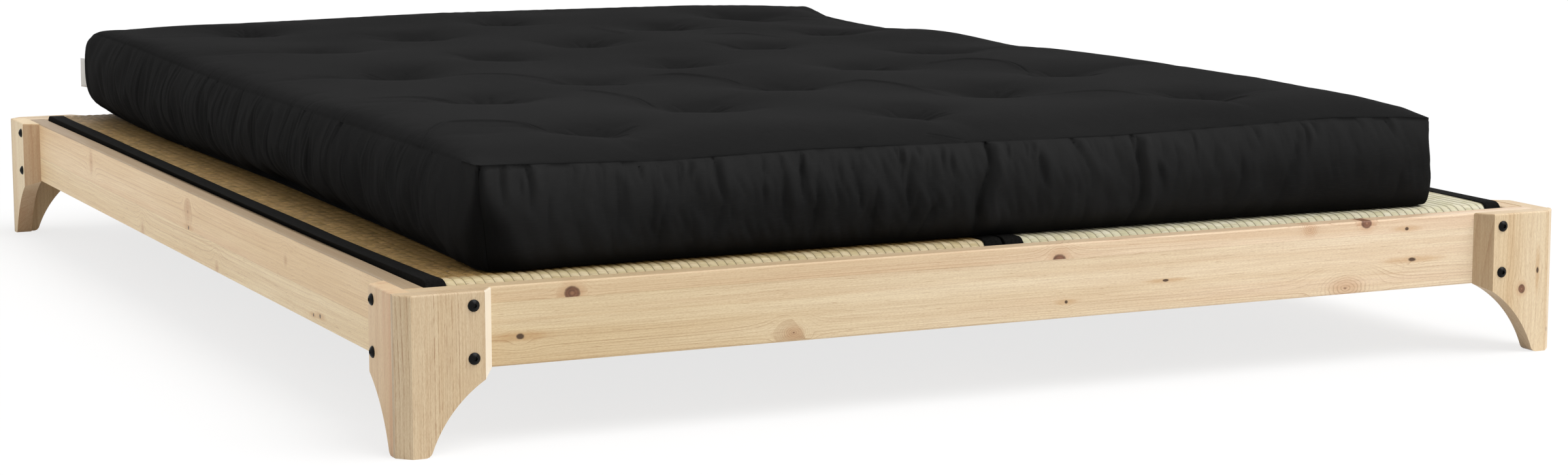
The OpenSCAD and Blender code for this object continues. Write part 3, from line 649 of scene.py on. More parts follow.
mat_end_round = 0.015
for side_name in ("left", "right"):
    low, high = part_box(side_name + "_mat_core")
    shape = bmesh.new()
    bmesh.ops.create_cube(shape, size=1.0)
    bmesh.ops.scale(shape, vec=high - low, verts=shape.verts)
    bmesh.ops.translate(shape, vec=(low + high) / 2, verts=shape.verts)
    top_ends = [
        edge for edge in shape.edges
        if all(corner.co.z > high.z - 1e-6 for corner in edge.verts)
        and abs(edge.verts[0].co.y - edge.verts[1].co.y) < 1e-6
    ]
    bmesh.ops.bevel(
        shape, geom=top_ends, offset=mat_end_round - 0.001, segments=4, profile=0.5, affect="EDGES",
        material=-1,
    )
    core = joined(side_name + "_straw_core", shape)
    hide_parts(side_name + "_mat_core")
    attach(core, "mats")
    core.data.shade_flat()
    straw = Finish(side_name + "_pressed_straw")
    place = straw.node("TexCoord", out="Object")
    lie = straw.node("Mapping", None, {"Vector": place, "Scale": (30.0, 500.0, 500.0)})
    stalks = straw.noise(lie, 1.0, 4.0)
    straw_tint = straw.blend(stalks.fade(0.35, 0.65), "8f7a45", "cdb97e")
    core.data.materials.append(straw.surface(straw_tint, 0.8, straw.relief(stalks, 0.8, 0.001)))
back_cloth = Finish("mat_back_cloth")
place = back_cloth.node("TexCoord", out="Object")
across, run = back_cloth.split(place, "XY")
threads = (across * 2500.0).math("SINE").fade(-1.0, 1.0) * (run * 2500.0).math("SINE").fade(-1.0, 1.0)
wear = back_cloth.noise(place, 12.0, 4.0)
cloth_tint = back_cloth.blend(threads * 0.6 + wear * 0.3, "4a4a48", "77766f")
back_cloth.surface(cloth_tint, 0.9, back_cloth.relief(threads, 0.6, 0.0004))
dress("left_mat_back_sheet", back_cloth.material)
dress("right_mat_back_sheet", back_cloth.material)


# The rush covers. Rush stalks lie across the mat, woven over pairs of warp threads into ridges
# that run its whole length, and the weave folds down over both ends of the core.
ridge_pitch = 0.0125
ridge_height = 0.0019
columns_per_ridge = 6
rush_thick = 0.0009
# The cords lean over as they turn down the ends, over this height
cord_slant = 0.4
lean_depth = 0.016


def over_ends(run, half_length, top, bottom, bend):
    """Where a cloth laid over the mat's length lies, as Y and Z and the way its face looks."""
    flat_half = half_length - bend
    turn = bend * math.pi / 2
    past = np.abs(run) - flat_half
    angle = np.clip(past, 0.0, turn) / bend
    drop = np.clip(past - turn, 0.0, None)
    out = np.sign(run)
    y = out * (np.minimum(np.abs(run), flat_half) + bend * np.sin(angle))
    z = top - bend * (1.0 - np.cos(angle)) - drop
    return y, np.maximum(z, bottom), out * np.sin(angle), np.cos(angle)


def cloth_runs(half_length, top, bottom, bend, flat_rows, turn_rows, drop_rows):
    """Even rows on the flat, close rows round each bend, and a few down each end."""
    flat_half = half_length - bend
    turn = bend * math.pi / 2
    drop = top - bend - bottom
    half = np.concatenate([
        np.linspace(0.0, flat_half, flat_rows // 2 + 1),
        flat_half + np.linspace(0.0, turn, turn_rows + 1)[1:],
        flat_half + turn + np.linspace(0.0, drop, drop_rows + 1)[1:],
    ])
    return np.concatenate([-half[:0:-1], half])


def cloth_places(points, runs):
    """Where the corners of a flat grid lie on a cloth: their share of its width, and their run."""
    number = np.rint((points[:, 1] + 1) / 2 * (len(runs) - 1)).astype(int)
    return (points[:, 0] + 1) / 2, runs[number]


for side_name, warm in (("left", 1.0), ("right", 0.0)):
    low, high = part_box(side_name + "_mat_rush_cover")
    width = high.x - low.x
    ridges = round(width / ridge_pitch)
    columns = ridges * columns_per_ridge
    ridge_top = high.z - 0.0002
    runs = cloth_runs(high.y, ridge_top, low.z + 0.001, mat_end_round, 100, 5, 6)
    shape = grid(columns, len(runs) - 1)

    def woven(points):
        share, run = cloth_places(points, runs)
        waver = 0.0008 * np.sin(run * 5.1 + 1.7 * np.sin(run * 2.3)) * np.sin(share * 29.0)
        x = low.x + width * share + waver
        swell = np.abs(np.sin(math.pi * share * ridges)) ** 0.6
        press = 0.85 + 0.15 * np.sin(share * ridges * 2.1) * np.sin(run * 31.0)
        y, z, face_y, face_z = over_ends(run, high.y, ridge_top, low.z + 0.001, mat_end_round)
        pressed = 1.0 - 0.7 * warm * np.clip((high.y - 0.06 - np.abs(run)) / 0.05, 0, 1)
        lift = ridge_height * (swell * press - 1.0) * pressed
        inside = np.clip(np.minimum(share, 1 - share) / 0.04, 0, 1)
        x += cord_slant * np.clip(ridge_top - z, 0, lean_depth) * inside
        return np.column_stack([x, y + face_y * lift, z + face_z * lift])

    moved(shape, woven)
    face_up(shape)
    bmesh.ops.solidify(shape, geom=shape.faces, thickness=rush_thick)
    cover = joined(side_name + "_rush_weave", shape)
    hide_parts(side_name + "_mat_rush_cover")
    side_name + "_straw_core"
    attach(cover, "mats")

    rush = Finish(side_name + "_rush")
    place = rush.node("TexCoord", out="Object")
    over, long, tall = rush.split(place)
    lengthwise = long + tall
    leaned = (ridge_top - tall).larger(0.0).smaller(lean_depth) * cord_slant
    ridge_place = (over - leaned - low.x) / ridge_pitch
    valley = (ridge_place * math.pi).math("SINE").size()
    stagger = (ridge_place.math("FLOOR") * 0.37).math("FRACT")
    stalks = rush.noise(rush.point(over * 34.0, lengthwise * 640.0, stagger * 40.0))
    bundles = rush.noise(rush.point(over * 3.0, lengthwise * 85.0, stagger * 9.0), 1.0, 3.0)
    stalk_lines = (lengthwise * 3900.0 + stalks * 7.0).math("SINE").fade(-1.0, 0.2)
    patches = rush.noise(place, 5.0, 3.0)
    fuzz = rush.noise(rush.point(over * 75.0, long * 330.0, stagger * 3.0), 1.0, 3.0, roughness=0.7)
    # The left mat is warmer, and painted shade darkens and browns it all over but for a strip at its foot end
    painted_mat_shade = (long + high.y).fade(0.006, 0.030) * warm
    pale = rush.blend(painted_mat_shade, "e9d9b4" if warm else "f0ebd2", "c09a60")
    green = rush.blend(painted_mat_shade, "cdbd8e" if warm else "d8d4b0", "8c7034")
    brown = rush.blend(painted_mat_shade, "a98d62", "684824")
    ripe = rush.blend(painted_mat_shade, "dcc3a0", "9a7538")
    tint = rush.blend(bundles.fade(0.3, 0.7), green, pale)
    tint = rush.blend(patches.fade(0.45, 0.75, 0.0, 0.45), tint, ripe)
    tint = rush.blend(stalks.fade(0.56, 0.74, 0.0, 0.6), tint, brown)
    tint = rush.blend(stalk_lines.fade(0.0, 1.0, 0.26, 0.0), tint, brown)
    tint = rush.blend(fuzz.fade(0.45, 0.66, 0.0, 0.75) * painted_mat_shade, tint, "463519")
    tint = rush.blend(fuzz.fade(0.30, 0.44, 0.65, 0.0) * painted_mat_shade, tint, "cda968")
    # The valleys between the ridges get painted shade, weaker where the mat is already shaded
    tint = rush.blend(valley.fade(0.0, 0.22, 0.8, 0.0) * (1.0 - painted_mat_shade * 0.85), tint, "665636")
    relief = rush.relief(stalk_lines * 0.6 + stalks, 0.7, 0.0006)
    cover.data.materials.append(rush.surface(tint, stalks.fade(0.2, 0.8, 0.45, 0.65), relief, shine=0.35))


# The borders. Black cotton tape 27 mm wide on top is folded round both long edges of each mat and
# down over its ends, and stitched to the rush along its inner edge.
border_bend = mat_end_round + 0.0005
border_thick = 0.0008
border_columns = 6
border_drop_rows = 8
# How far the loose tape of an outer border stands out over the rail, at places along it
tape_belly = ((-0.97, -0.88, -0.6, 0.1, 0.6, 0.9, 0.96), (0, 0.002, 0.0075, 0.0075, 0.004, 0.002, 0))
end_flare = 0.004
end_reach = 0.03
border_cloth = Finish("border_cotton")
place = border_cloth.node("TexCoord", out="Object")
over, long, tall = border_cloth.split(place)
weave = ((over + tall) * 5200.0).math("SINE") * ((long + tall) * 5200.0).math("SINE")
slubs = border_cloth.noise(place, 240.0, 4.0, roughness=0.7)
lint = border_cloth.noise(place, 900.0, 1.0)
border_tint = border_cloth.blend(slubs.fade(0.3, 0.7), "0d0d0c", "191817")
border_tint = border_cloth.blend(lint.fade(0.66, 0.76, 0.0, 0.5), border_tint, "4a4644")
border_relief = border_cloth.relief(weave * 0.5 + slubs, 0.6, 0.0004)
border_cloth.surface(border_tint, 0.9, border_relief, shine=0.05)

for side_name in ("left", "right"):
    for edge_name in ("outer", "inner"):
        node = f"{side_name}_mat_{edge_name}_border"
        low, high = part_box(node)
        outwards = -1.0 if (side_name == "left") == (edge_name == "outer") else 1.0
        edge_x = low.x if outwards < 0 else high.x
        inner_x = high.x if outwards < 0 else low.x
        runs = cloth_runs(high.y, high.z, low.z, border_bend, 80, 5, border_drop_rows)
        bellied = outwards * (edge_name == "outer")

        def belly(run):
            return bellied * np.interp(run, *tape_belly)

        shape = grid(border_columns, len(runs) - 1)

        def folded(points):
            share, run = cloth_places(points, runs)
            y, z, face_y, face_z = over_ends(run, high.y, high.z, low.z, border_bend)
            edge_sag = 0.0007 * (1.0 - share) ** 4
            ripple = 0.0003 * np.sin(run * 37.0) * np.sin(math.pi * share)
            lift = ripple - edge_sag
            x = inner_x + (edge_x - inner_x) * share + 0.0006 * np.sin(run * 11.0) * (1.0 - share)
            flare = bellied * end_flare * np.clip(high.y - np.abs(run), 0, end_reach) / end_reach
            x += belly(run) * (0.8 + 0.2 * share) + flare * (1 - share)
            return np.column_stack([x, y + face_y * lift, z + face_z * lift])

        moved(shape, folded)
        turn = border_bend * math.pi / 2
        side_runs = runs[np.abs(runs) <= high.y - border_bend + turn + 1e-9]
        flank = grid(border_drop_rows, len(side_runs) - 1)

        def hung(points):
            share, run = cloth_places(points, side_runs)
            y, z, _, _ = over_ends(run, high.y, high.z, low.z, border_bend)
            level = low.z + (z - low.z) * (1.0 - share)
            return np.column_stack([edge_x + belly(run) * (share < 0.01), y, level])

        moved(flank, hung)
        flank_mesh = bpy.data.meshes.new("flank")
        flank.to_mesh(flank_mesh)
        flank.free()
        shape.from_mesh(flank_mesh)
        bpy.data.meshes.remove(flank_mesh)
        bmesh.ops.remove_doubles(shape, verts=shape.verts, dist=0.0001)
        face_up(shape)
        long_edge = [
            edge for edge in shape.edges
            if len(edge.link_faces) == 2 and edge.calc_face_angle(0.0) > 1.2
            and all(abs(corner.co.x - edge_x) < 0.009 for corner in edge.verts)
        ]
        bmesh.ops.bevel(
            shape, geom=long_edge, offset=0.002, segments=2, profile=0.5, affect="EDGES", material=-1,
            clamp_overlap=True,
        )
        bmesh.ops.solidify(shape, geom=shape.faces, thickness=border_thick)
        border = joined(f"{side_name}_{edge_name}_border_tape", shape)
        border.data.materials.append(border_cloth.material)
        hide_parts(node)
        side_name + "_rush_weave"
        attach(border, "mats")


# The mattress filling. A core of rubbered coconut fibre lies between two layers of cotton batting,
# and black threads tie the two faces of the cover together through all of it.
coir = Finish("coconut_fibre")
tangle = coir.noise(coir.node("TexCoord", out="Object"), 180.0, 5.0, distortion=1.5)
coir_tint = coir.blend(tangle.fade(0.35, 0.65), "5a3a20", "a4713f")
coir.surface(coir_tint, 0.85, coir.relief(tangle, 0.9, 0.002))
cotton = Finish("cotton_batting")
fluff = cotton.noise(cotton.node("TexCoord", out="Object"), 60.0, 6.0, roughness=0.7)
cotton_tint = cotton.blend(fluff.fade(0.3, 0.7), "d9d2c3", "f3efe6")
cotton.surface(cotton_tint, 0.95, cotton.relief(fluff, 0.7, 0.003))
thread = Finish("tufting_thread")
place = thread.node("TexCoord", out="Object")
twist = thread.node("TexWave", {"bands_direction": "DIAGONAL"}, {"Vector": place, "Scale": 260.0})
thread.surface(thread.blend(twist, "121212", "2a2a2a"), 0.7, thread.relief(twist, 0.6, 0.0004))
dress("tuft_threads", thread.material)
tuft_step_across = 0.2333
tuft_step_along = 0.2
tufts = [
    ((2 * column - columns + 1) * tuft_step_across, (row - 4) * tuft_step_along)
    for row, columns in enumerate((3, 2) * 4 + (3,))
    for column in range(columns)
]
# Each tuft is a small deep bowl in a wide shallow one: their parts of the depth, and their reach
tuft_bowls = ((0.42, 0.019), (0.58, 0.050))
top_low, top_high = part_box("mattress_top_panel")
bottom_low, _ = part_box("mattress_bottom_panel")
middle = (top_low + top_high) / 2


def hollows(across, along):
    """How deep each place lies in a tuft: 1 at a tuft's thread, 0 away from them all."""
    deepest = np.zeros(len(across))
    for tuft_across, tuft_along in tufts:
        square = (across - tuft_across) ** 2 + (along - tuft_along) ** 2
        bowl = sum(part * np.exp(-square / (2 * reach ** 2)) for part, reach in tuft_bowls)
        deepest = np.maximum(deepest, bowl)
    return deepest


# Places where the filling is slack: where they lie, how wide they are and how far the top sinks
slack_places = ((0.61, 0.76, 0.12, 0.016), (0.58, 0.54, 0.12, 0.012), (0.62, 0.12, 0.08, 0.008))


def slackness(across, along):
    """How far the top sinks at each place because the filling is slack there."""
    sunk = np.zeros(len(across))
    for slack_across, slack_along, reach, depth in slack_places:
        square = (across - slack_across) ** 2 + (along - slack_along) ** 2
        sunk += depth * np.exp(-square / (2 * reach ** 2))
    return sunk


def drawn_block(low, high, cells_across, cells_along, rows):
    """A closed box of even cells: a grid, its rim drawn down row by row, and a second grid below."""
    shape = grid(cells_across, cells_along)
    bmesh.ops.scale(shape, vec=((high.x - low.x) / 2, (high.y - low.y) / 2, 1.0), verts=shape.verts)
    bmesh.ops.translate(shape, vec=((low.x + high.x) / 2, (low.y + high.y) / 2, high.z), verts=shape.verts)
    lid = list(shape.faces)
    rim = [edge for edge in shape.edges if edge.is_boundary]
    for _ in range(rows):
        grown = bmesh.ops.extrude_edge_only(shape, edges=rim)["geom"]
        lower = [part for part in grown if isinstance(part, bmesh.types.BMVert)]
        bmesh.ops.translate(shape, vec=(0.0, 0.0, (low.z - high.z) / rows), verts=lower)
        rim = [part for part in grown if isinstance(part, bmesh.types.BMEdge) and part.is_boundary]
    under = bmesh.ops.duplicate(shape, geom=lid)["geom"]
    under_corners = [part for part in under if isinstance(part, bmesh.types.BMVert)]
    bmesh.ops.translate(shape, vec=(0.0, 0.0, low.z - high.z), verts=under_corners)
    bmesh.ops.remove_doubles(shape, verts=shape.verts, dist=0.0001)
    bmesh.ops.recalc_face_normals(shape, faces=shape.faces)
    return shape


layer_dips = {"lower_batting": (0.0, 0.012), "core": (0.003, 0.003), "upper_batting": (0.024, 0.0)}
for layer_name, (top_dip, bottom_dip) in layer_dips.items():
    low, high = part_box("mattress_" + layer_name)
    high.z -= 0.003 if layer_name == "upper_batting" else 0.0
    shape = drawn_block(low, high, 60, 84, 4)

    def packed(points):
        across = points[:, 0] - middle.x
        along = points[:, 1] - middle.y
        rise = (points[:, 2] - low.z) / (high.z - low.z)
        deep = hollows(across, along)
        waves = 0.0012 * np.sin(across * 61.0 + 3.0 * np.sin(along * 17.0)) * np.sin(along * 47.0)
        height = points[:, 2] + (rise * 2 - 1) * waves
        height += np.where(rise > 0.5, -top_dip * deep, bottom_dip * deep) * np.abs(rise * 2 - 1)
        if layer_name == "upper_batting":
            height -= slackness(across, along) * rise
        soft = 0.016 if layer_name != "core" else 0.004
        lumps = 1 + 0.3 * np.sin(along * 39.0) * np.sin(across * 43.0)
        drawn = 1 - soft * lumps * np.abs(rise * 2 - 1) ** 3
        if layer_name == "lower_batting":
            drawn -= 0.03 * (1 - rise) ** 2
        return np.column_stack([middle.x + across * drawn, middle.y + along * drawn, height])

    moved(shape, packed)
    layer = joined("mattress_" + layer_name + "_layer", shape)
    layer.data.materials.append(coir.material if layer_name == "core" else cotton.material)
    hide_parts("mattress_" + layer_name)
    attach(layer, "mattress")


# The mattress cover. Black cotton drill, sewn up as a box: a top panel, a side band gathered into
# the long seams, and a bottom panel. Tufts pull both faces down into soft hollows.
half_across = (top_high.x - top_low.x) / 2
half_along = (top_high.y - top_low.y) / 2
base_height = bottom_low.z
seam_height = top_low.z
band_height = seam_height - base_height
crown = top_high.z - seam_height
# A place nearer than this to an edge of the flat cover lies on its seam
seam_reach = 0.0005
cells_across = 114
cells_along = 160
band_rows = 10
# The cells are drawn towards the seams, by this much at this distance from them
crowding = 0.0055
crowding_reach = 0.03

box_low = Vector((top_low.x, top_low.y, base_height))
box_high = Vector((top_high.x, top_high.y, seam_height))
shape = drawn_block(box_low, box_high, cells_across, cells_along, band_rows)


def crowded(points):
    """Draws the cells together beside the seams, where the cloth turns most."""
    drawn = points.copy()
    for axis, half in ((0, half_across), (1, half_along)):
        off = points[:, axis] - middle[axis]
        inset = half - np.abs(off)
        inset -= crowding * inset / crowding_reach * np.exp(1 - inset / crowding_reach)
        drawn[:, axis] = middle[axis] + np.sign(off) * (half - inset)
    return drawn


moved(shape, crowded)
cloth_map = shape.loops.layers.uv.new("cloth")
for face in shape.faces:
    face.normal_update()
    axis = max(range(3), key=lambda number: abs(face.normal[number]))
    first, second = [number for number in range(3) if number != axis]
    for corner in face.loops:
        corner[cloth_map].uv = (corner.vert.co[first], corner.vert.co[second])
flat_across = shape.verts.layers.float.new("flat_across")
flat_along = shape.verts.layers.float.new("flat_along")
flat_rise = shape.verts.layers.float.new("flat_rise")
for corner in shape.verts:
    corner[flat_across] = corner.co.x - middle.x
    corner[flat_along] = corner.co.y - middle.y
    corner[flat_rise] = (corner.co.z - base_height) / band_height


def numbers(owner, name, width=1):
    """An attribute of every point, as an array."""
    values = np.zeros(len(owner) * width, np.float32)
    owner.foreach_get(name, values)
    return values.reshape(-1, width) if width > 1 else values


def swells(places, seed, size, count=9):
    """Slow waves in no order, between about -1 and 1: size is the length of a middling wave."""
    chance = random.Random(seed)
    total = np.zeros(len(places[0]))
    for _ in range(count):
        heading = chance.uniform(0, math.tau)
        pitch = math.tau / (size * chance.uniform(0.6, 1.6))
        phase = chance.uniform(0, math.tau)
        total += np.sin(pitch * (places[0] * math.cos(heading) + places[1] * math.sin(heading)) + phase)
    return total / math.sqrt(count)


# How far the seams stand above or below the height of the CAD seam, in metres, at places along
# them: the filling is full along the head and at the right foot corner, and slack between.
left_rise = (
    (-1.0, -0.9, -0.2, 0.1, 0.3, 0.5, 0.7, 0.96, 1.0),
    (0.003, 0.001, -0.002, -0.003, 0.001, 0.005, 0.010, 0.012, 0.007),
)
right_rise = (
    (-1.0, -0.95, -0.6, -0.25, 0.1, 0.25, 0.5, 0.9, 1.0),
    (-0.008, 0.004, 0.011, 0.005, -0.002, -0.002, -0.010, -0.009, 0.006),
)
front_rise = (
    (-0.7, -0.6, -0.45, -0.25, 0.2, 0.35, 0.55, 0.66, 0.7),
    (0.004, 0, -0.004, -0.001, -0.007, -0.004, 0.001, -0.003, -0.008),
)
back_rise = ((-0.7, -0.5, -0.05, 0.45, 0.6, 0.7), (0.010, 0.014, 0.021, 0.017, 0.012, 0.006))
# How far the band's foot is drawn in on the left, where the folds pinch it, and on the foot side
left_tuck = (
    (-1.0, -0.93, -0.6, -0.3, -0.06, 0.05, 0.2, 0.55, 0.7, 0.85, 1.0),
    (-0.008, 0.006, 0.018, 0.026, 0.040, 0.026, 0.018, 0.010, 0.016, 0.020, 0.014),
)
front_tuck = ((-0.7, -0.6, 0.55, 0.7), (0.002, 0.014, 0.014, 0.004))
plain_tuck = 0.007
# The radius at which each corner is turned, at shares of the height from the base to the seam
round_levels = (0.0, 0.3, 0.6, 0.85, 1.0)
head_rounds = (0.034, 0.033, 0.031, 0.028, 0.009)
left_foot_rounds = (0.066, 0.054, 0.034, 0.018, 0.009)
right_foot_rounds = (0.030, 0.020, 0.016, 0.013, 0.008)
top_tuft_depth = 0.021
bottom_tuft_depth = 0.012
sag_depth = 0.010
billow_height = 0.0028
side_belly = 0.013
end_belly = 0.009
drawn_between_corners = 0.006
# How wide the shoulder along the left edge rolls, and its share of the crown's height
shoulder_roll = 0.034
shoulder_share = 0.68
# How far the corners stand out, the right foot one also at its foot, and the left head one as a
# bulge half way up, with its top drawn down and its foot lifted
left_foot_out = 0.004
right_foot_out = 0.013
right_foot_spread = 0.018
head_bulge_across = 0.016
head_bulge_along = 0.010
head_top_drop = 0.012
head_foot_lift = 0.016


def seam_lift(across, along):
    """How far each place is lifted by the seams near it."""
    sides = (
        (half_across + across, np.interp(along, *left_rise)),
        (half_across - across, np.interp(along, *right_rise)),
        (half_along + along, np.interp(across, *front_rise)),
        (half_along - along, np.interp(across, *back_rise)),
    )
    pulls = [np.exp(-inset / 0.05) for inset, _ in sides]
    return sum(pull * lift for pull, (_, lift) in zip(pulls, sides)) / sum(pulls) * np.maximum.reduce(pulls)


def rounded(inset, reach, power):
    """Rises from 0 at an edge, steeply at first, to 1 at this reach from it."""
    return 1 - np.clip(1 - inset / reach, 0, 1) ** power


def crown_share(across, along):
    """How much of the crown's height each place of the top has: 0 at the seams, 1 in the middle."""
    # The left edge rolls over a full shoulder, and its seam lies low on it
    left_inset = half_across + across
    left = shoulder_share * np.sqrt(rounded(left_inset, shoulder_roll, 2))
    left += (1 - shoulder_share) * rounded(left_inset, 0.16, 2.2)
    right = rounded(half_across - across, 0.14, 3)
    return np.where(across < 0, left, right) * rounded(half_along - np.abs(along), 0.17, 2.4)


def corner_turn(across, along, rise):
    """How far the rounding of the corners draws each place in, across and along."""
    radius = np.interp(rise, round_levels, head_rounds)
    radius = np.where((along < 0) & (across < 0), np.interp(rise, round_levels, left_foot_rounds), radius)
    radius = np.where((along < 0) & (across > 0), np.interp(rise, round_levels, right_foot_rounds), radius)
    past_across = np.clip(np.abs(across) - (half_across - radius), 0, None) / radius
    past_along = np.clip(np.abs(along) - (half_along - radius), 0, None) / radius
    both = np.hypot(past_across, past_along)
    keep = np.where(both > 1, 1 / np.maximum(both, 1), 1.0)
    return (
        np.sign(across) * past_across * (1 - keep) * radius,
        np.sign(along) * past_along * (1 - keep) * radius,
    )


def stuffed(points):
    """The flat box of the cover, filled: crowned and tufted on both faces, with a full side band."""
    across = points[:, 0] - middle.x
    along = points[:, 1] - middle.y
    rise = (points[:, 2] - base_height) / band_height
    up = np.clip(rise, 0, 1)
    down = np.clip(1 - rise, 0, 1)
    share_across = across / half_across
    share_along = along / half_along
    edge = np.minimum(half_across - np.abs(across), half_along - np.abs(along))
    on_top = (rise > 0.999).astype(float)
    below = (rise < 0.001).astype(float)
    deep = hollows(across, along)
    fall = crown_share(across, along)
    billow = swells((across, along), 5, 0.5) * billow_height
    sag = sag_depth * np.sqrt(np.clip((1 - share_across ** 2) * (1 - share_along ** 2), 0, 1))
    top_lift = (crown - sag) * fall - top_tuft_depth * deep * np.clip(edge / 0.08, 0, 1) + billow * fall
    bottom_lift = bottom_tuft_depth * np.clip(edge / 0.05, 0, 1) * deep
    # The plan of the band: drawn in between the corners, full half way up, tucked in at the bottom
    corner_near = np.minimum(np.abs(share_across), np.abs(share_along))
    fullness = 1 - corner_near ** 12
    on_side = np.abs(share_across) > 0.999
    belly = np.where(on_side, side_belly, end_belly) * np.sin(math.pi * up) ** 0.6 * fullness
    tuck = np.where(share_across < -0.999, np.interp(along, *left_tuck), plain_tuck)
    tuck = np.where(share_along < -0.999, np.interp(across, *front_tuck), tuck) * down ** 7
    grow = belly - tuck
    new_across = across * ((half_across + grow) / half_across)
    new_across -= share_across * drawn_between_corners * (1 - share_along ** 2)
    new_along = along * ((half_along + grow) / half_along)
    new_along -= share_along * drawn_between_corners * (1 - share_across ** 2)
    # The foot corners stand out beyond the seams between them, and the left head corner bulges
    near_foot = np.exp(-(half_along + along) / 0.08)
    near_left = np.exp(-(half_across + across) / 0.06)
    near_right = np.exp(-(half_across - across) / 0.10)
    near_head = np.exp(-(half_along - along) / 0.07)
    new_across += near_foot * near_right * (right_foot_out + right_foot_spread * down ** 1.3)
    new_across -= near_foot * near_left * left_foot_out
    head_bulge = near_head * near_left * down ** 0.35 * up ** 0.3
    new_across -= head_bulge * head_bulge_across
    new_along += head_bulge * head_bulge_along
    # The corners are turned with a radius that is small at the top seam and grows down the band
    turn_across, turn_along = corner_turn(across, along, rise)
    new_across -= turn_across
    new_along -= turn_along
    height = base_height + band_height * rise + on_top * top_lift + below * bottom_lift
    height += seam_lift(across, along) * up ** 2
    head_corner = np.hypot(half_across + across, half_along - along)
    height -= head_top_drop * np.exp(-(head_corner / 0.035) ** 2) * up ** 4
    height += head_foot_lift * np.exp(-head_corner / 0.09) * (1 - up) ** 2
    height -= on_top * slackness(across, along) * np.clip(edge / 0.03, 0, 1)
    return np.column_stack([middle.x + new_across, middle.y + new_along, height])


moved(shape, stuffed)
cover = joined("mattress_cover", shape)

# The filling pushes the cover out between its seams and tufts, and the spare cloth wrinkles there
cover_points = numbers(cover.data.vertices, "co", 3)
rise = numbers(cover.data.attributes["flat_rise"].data, "value")
flat_x = numbers(cover.data.attributes["flat_across"].data, "value")
flat_y = numbers(cover.data.attributes["flat_along"].data, "value")
edge = np.minimum(half_across - np.abs(flat_x), half_along - np.abs(flat_y))
nearest_tuft = np.full(len(flat_x), 9.0)
for tuft_across, tuft_along in tufts:
    nearest_tuft = np.minimum(nearest_tuft, np.hypot(flat_x - tuft_across, flat_y - tuft_along))
# The cloth is held along its seams, round its tufts and at its foot, and a little loosely in its
# upper corners. No place of it moves further than the filling can push it
held_by_seam = 0.001
held_by_tuft = 0.009
held_foot = 0.05
cloth_steps = 24
furthest_push = 0.011
held = cover.vertex_groups.new(name="held")
hold = np.zeros(len(flat_x))
hold[(rise > 0.999) & (edge < held_by_seam)] = 1.0
hold[(rise > 0.999) & (nearest_tuft < held_by_tuft)] = 1.0
hold[rise < held_foot] = 1.0
by_side = half_across - np.abs(flat_x) < held_by_seam
by_end = half_along - np.abs(flat_y) < held_by_seam
hold[by_side & by_end] = 0.95
for number in np.flatnonzero(hold > 0):
    held.add([int(number)], float(hold[number]), "REPLACE")
cloth = cover.modifiers.new("cloth", "CLOTH")
settings = cloth.settings
settings.vertex_group_mass = "held"
settings.pin_stiffness = 20.0
settings.quality = 5
settings.mass = 0.35
settings.tension_stiffness = 18.0
settings.compression_stiffness = 12.0
settings.shear_stiffness = 4.0
settings.bending_stiffness = 0.08
settings.tension_damping = 8.0
settings.compression_damping = 8.0
settings.air_damping = 2.0
settings.shrink_min = -0.035
settings.use_pressure = True
settings.uniform_pressure_force = 1.6
settings.effector_weights.gravity = 0.0
cloth.collision_settings.use_collision = False
cloth.collision_settings.use_self_collision = False
cloth.point_cache.frame_start = 1
cloth.point_cache.frame_end = cloth_steps
for step in range(1, cloth_steps + 1):
    bpy.context.scene.frame_set(step)
settled = cover.evaluated_get(bpy.context.evaluated_depsgraph_get())
sewn_points = numbers(settled.data.vertices, "co", 3)
shift = sewn_points - cover_points
length = np.linalg.norm(shift, axis=1)
capped = np.where(length > furthest_push, furthest_push / np.maximum(length, 1e-9), 1.0)
shift *= capped[:, None]
cover.modifiers.remove(cloth)
cover.vertex_groups.remove(held)
bpy.context.scene.frame_set(1)
# The top panel is cut to size and lies smoother than the band, which is gathered into it
ease = np.where(rise > 0.999, 0.10 + 0.22 * np.clip((edge - 0.03) / 0.15, 0, 1), 0.8)
ease *= np.clip(np.hypot(half_across - np.abs(flat_x), half_along - np.abs(flat_y)) / 0.06, 0, 1)
shift *= ease[:, None]
cover.data.vertices.foreach_set("co", (cover_points + shift).astype(np.float32).ravel())
cover.data.update()

creased = cover.data.attributes.new("crease_edge", "FLOAT", "EDGE")
ends = np.zeros(len(cover.data.edges) * 2, np.int32)
cover.data.edges.foreach_get("vertices", ends)
ends = ends.reshape(-1, 2)
seam_corner = (rise > 0.9995) & (edge < seam_reach)
creased.data.foreach_set("value", (seam_corner[ends[:, 0]] & seam_corner[ends[:, 1]]).astype(np.float32))
finer = cover.modifiers.new("finer", "SUBSURF")
finer.levels = 1
finer.render_levels = 1
smooth_cover = cover.evaluated_get(bpy.context.evaluated_depsgraph_get())
fine_mesh = bpy.data.meshes.new_from_object(smooth_cover)
cover.modifiers.remove(finer)
cover.data = fine_mesh

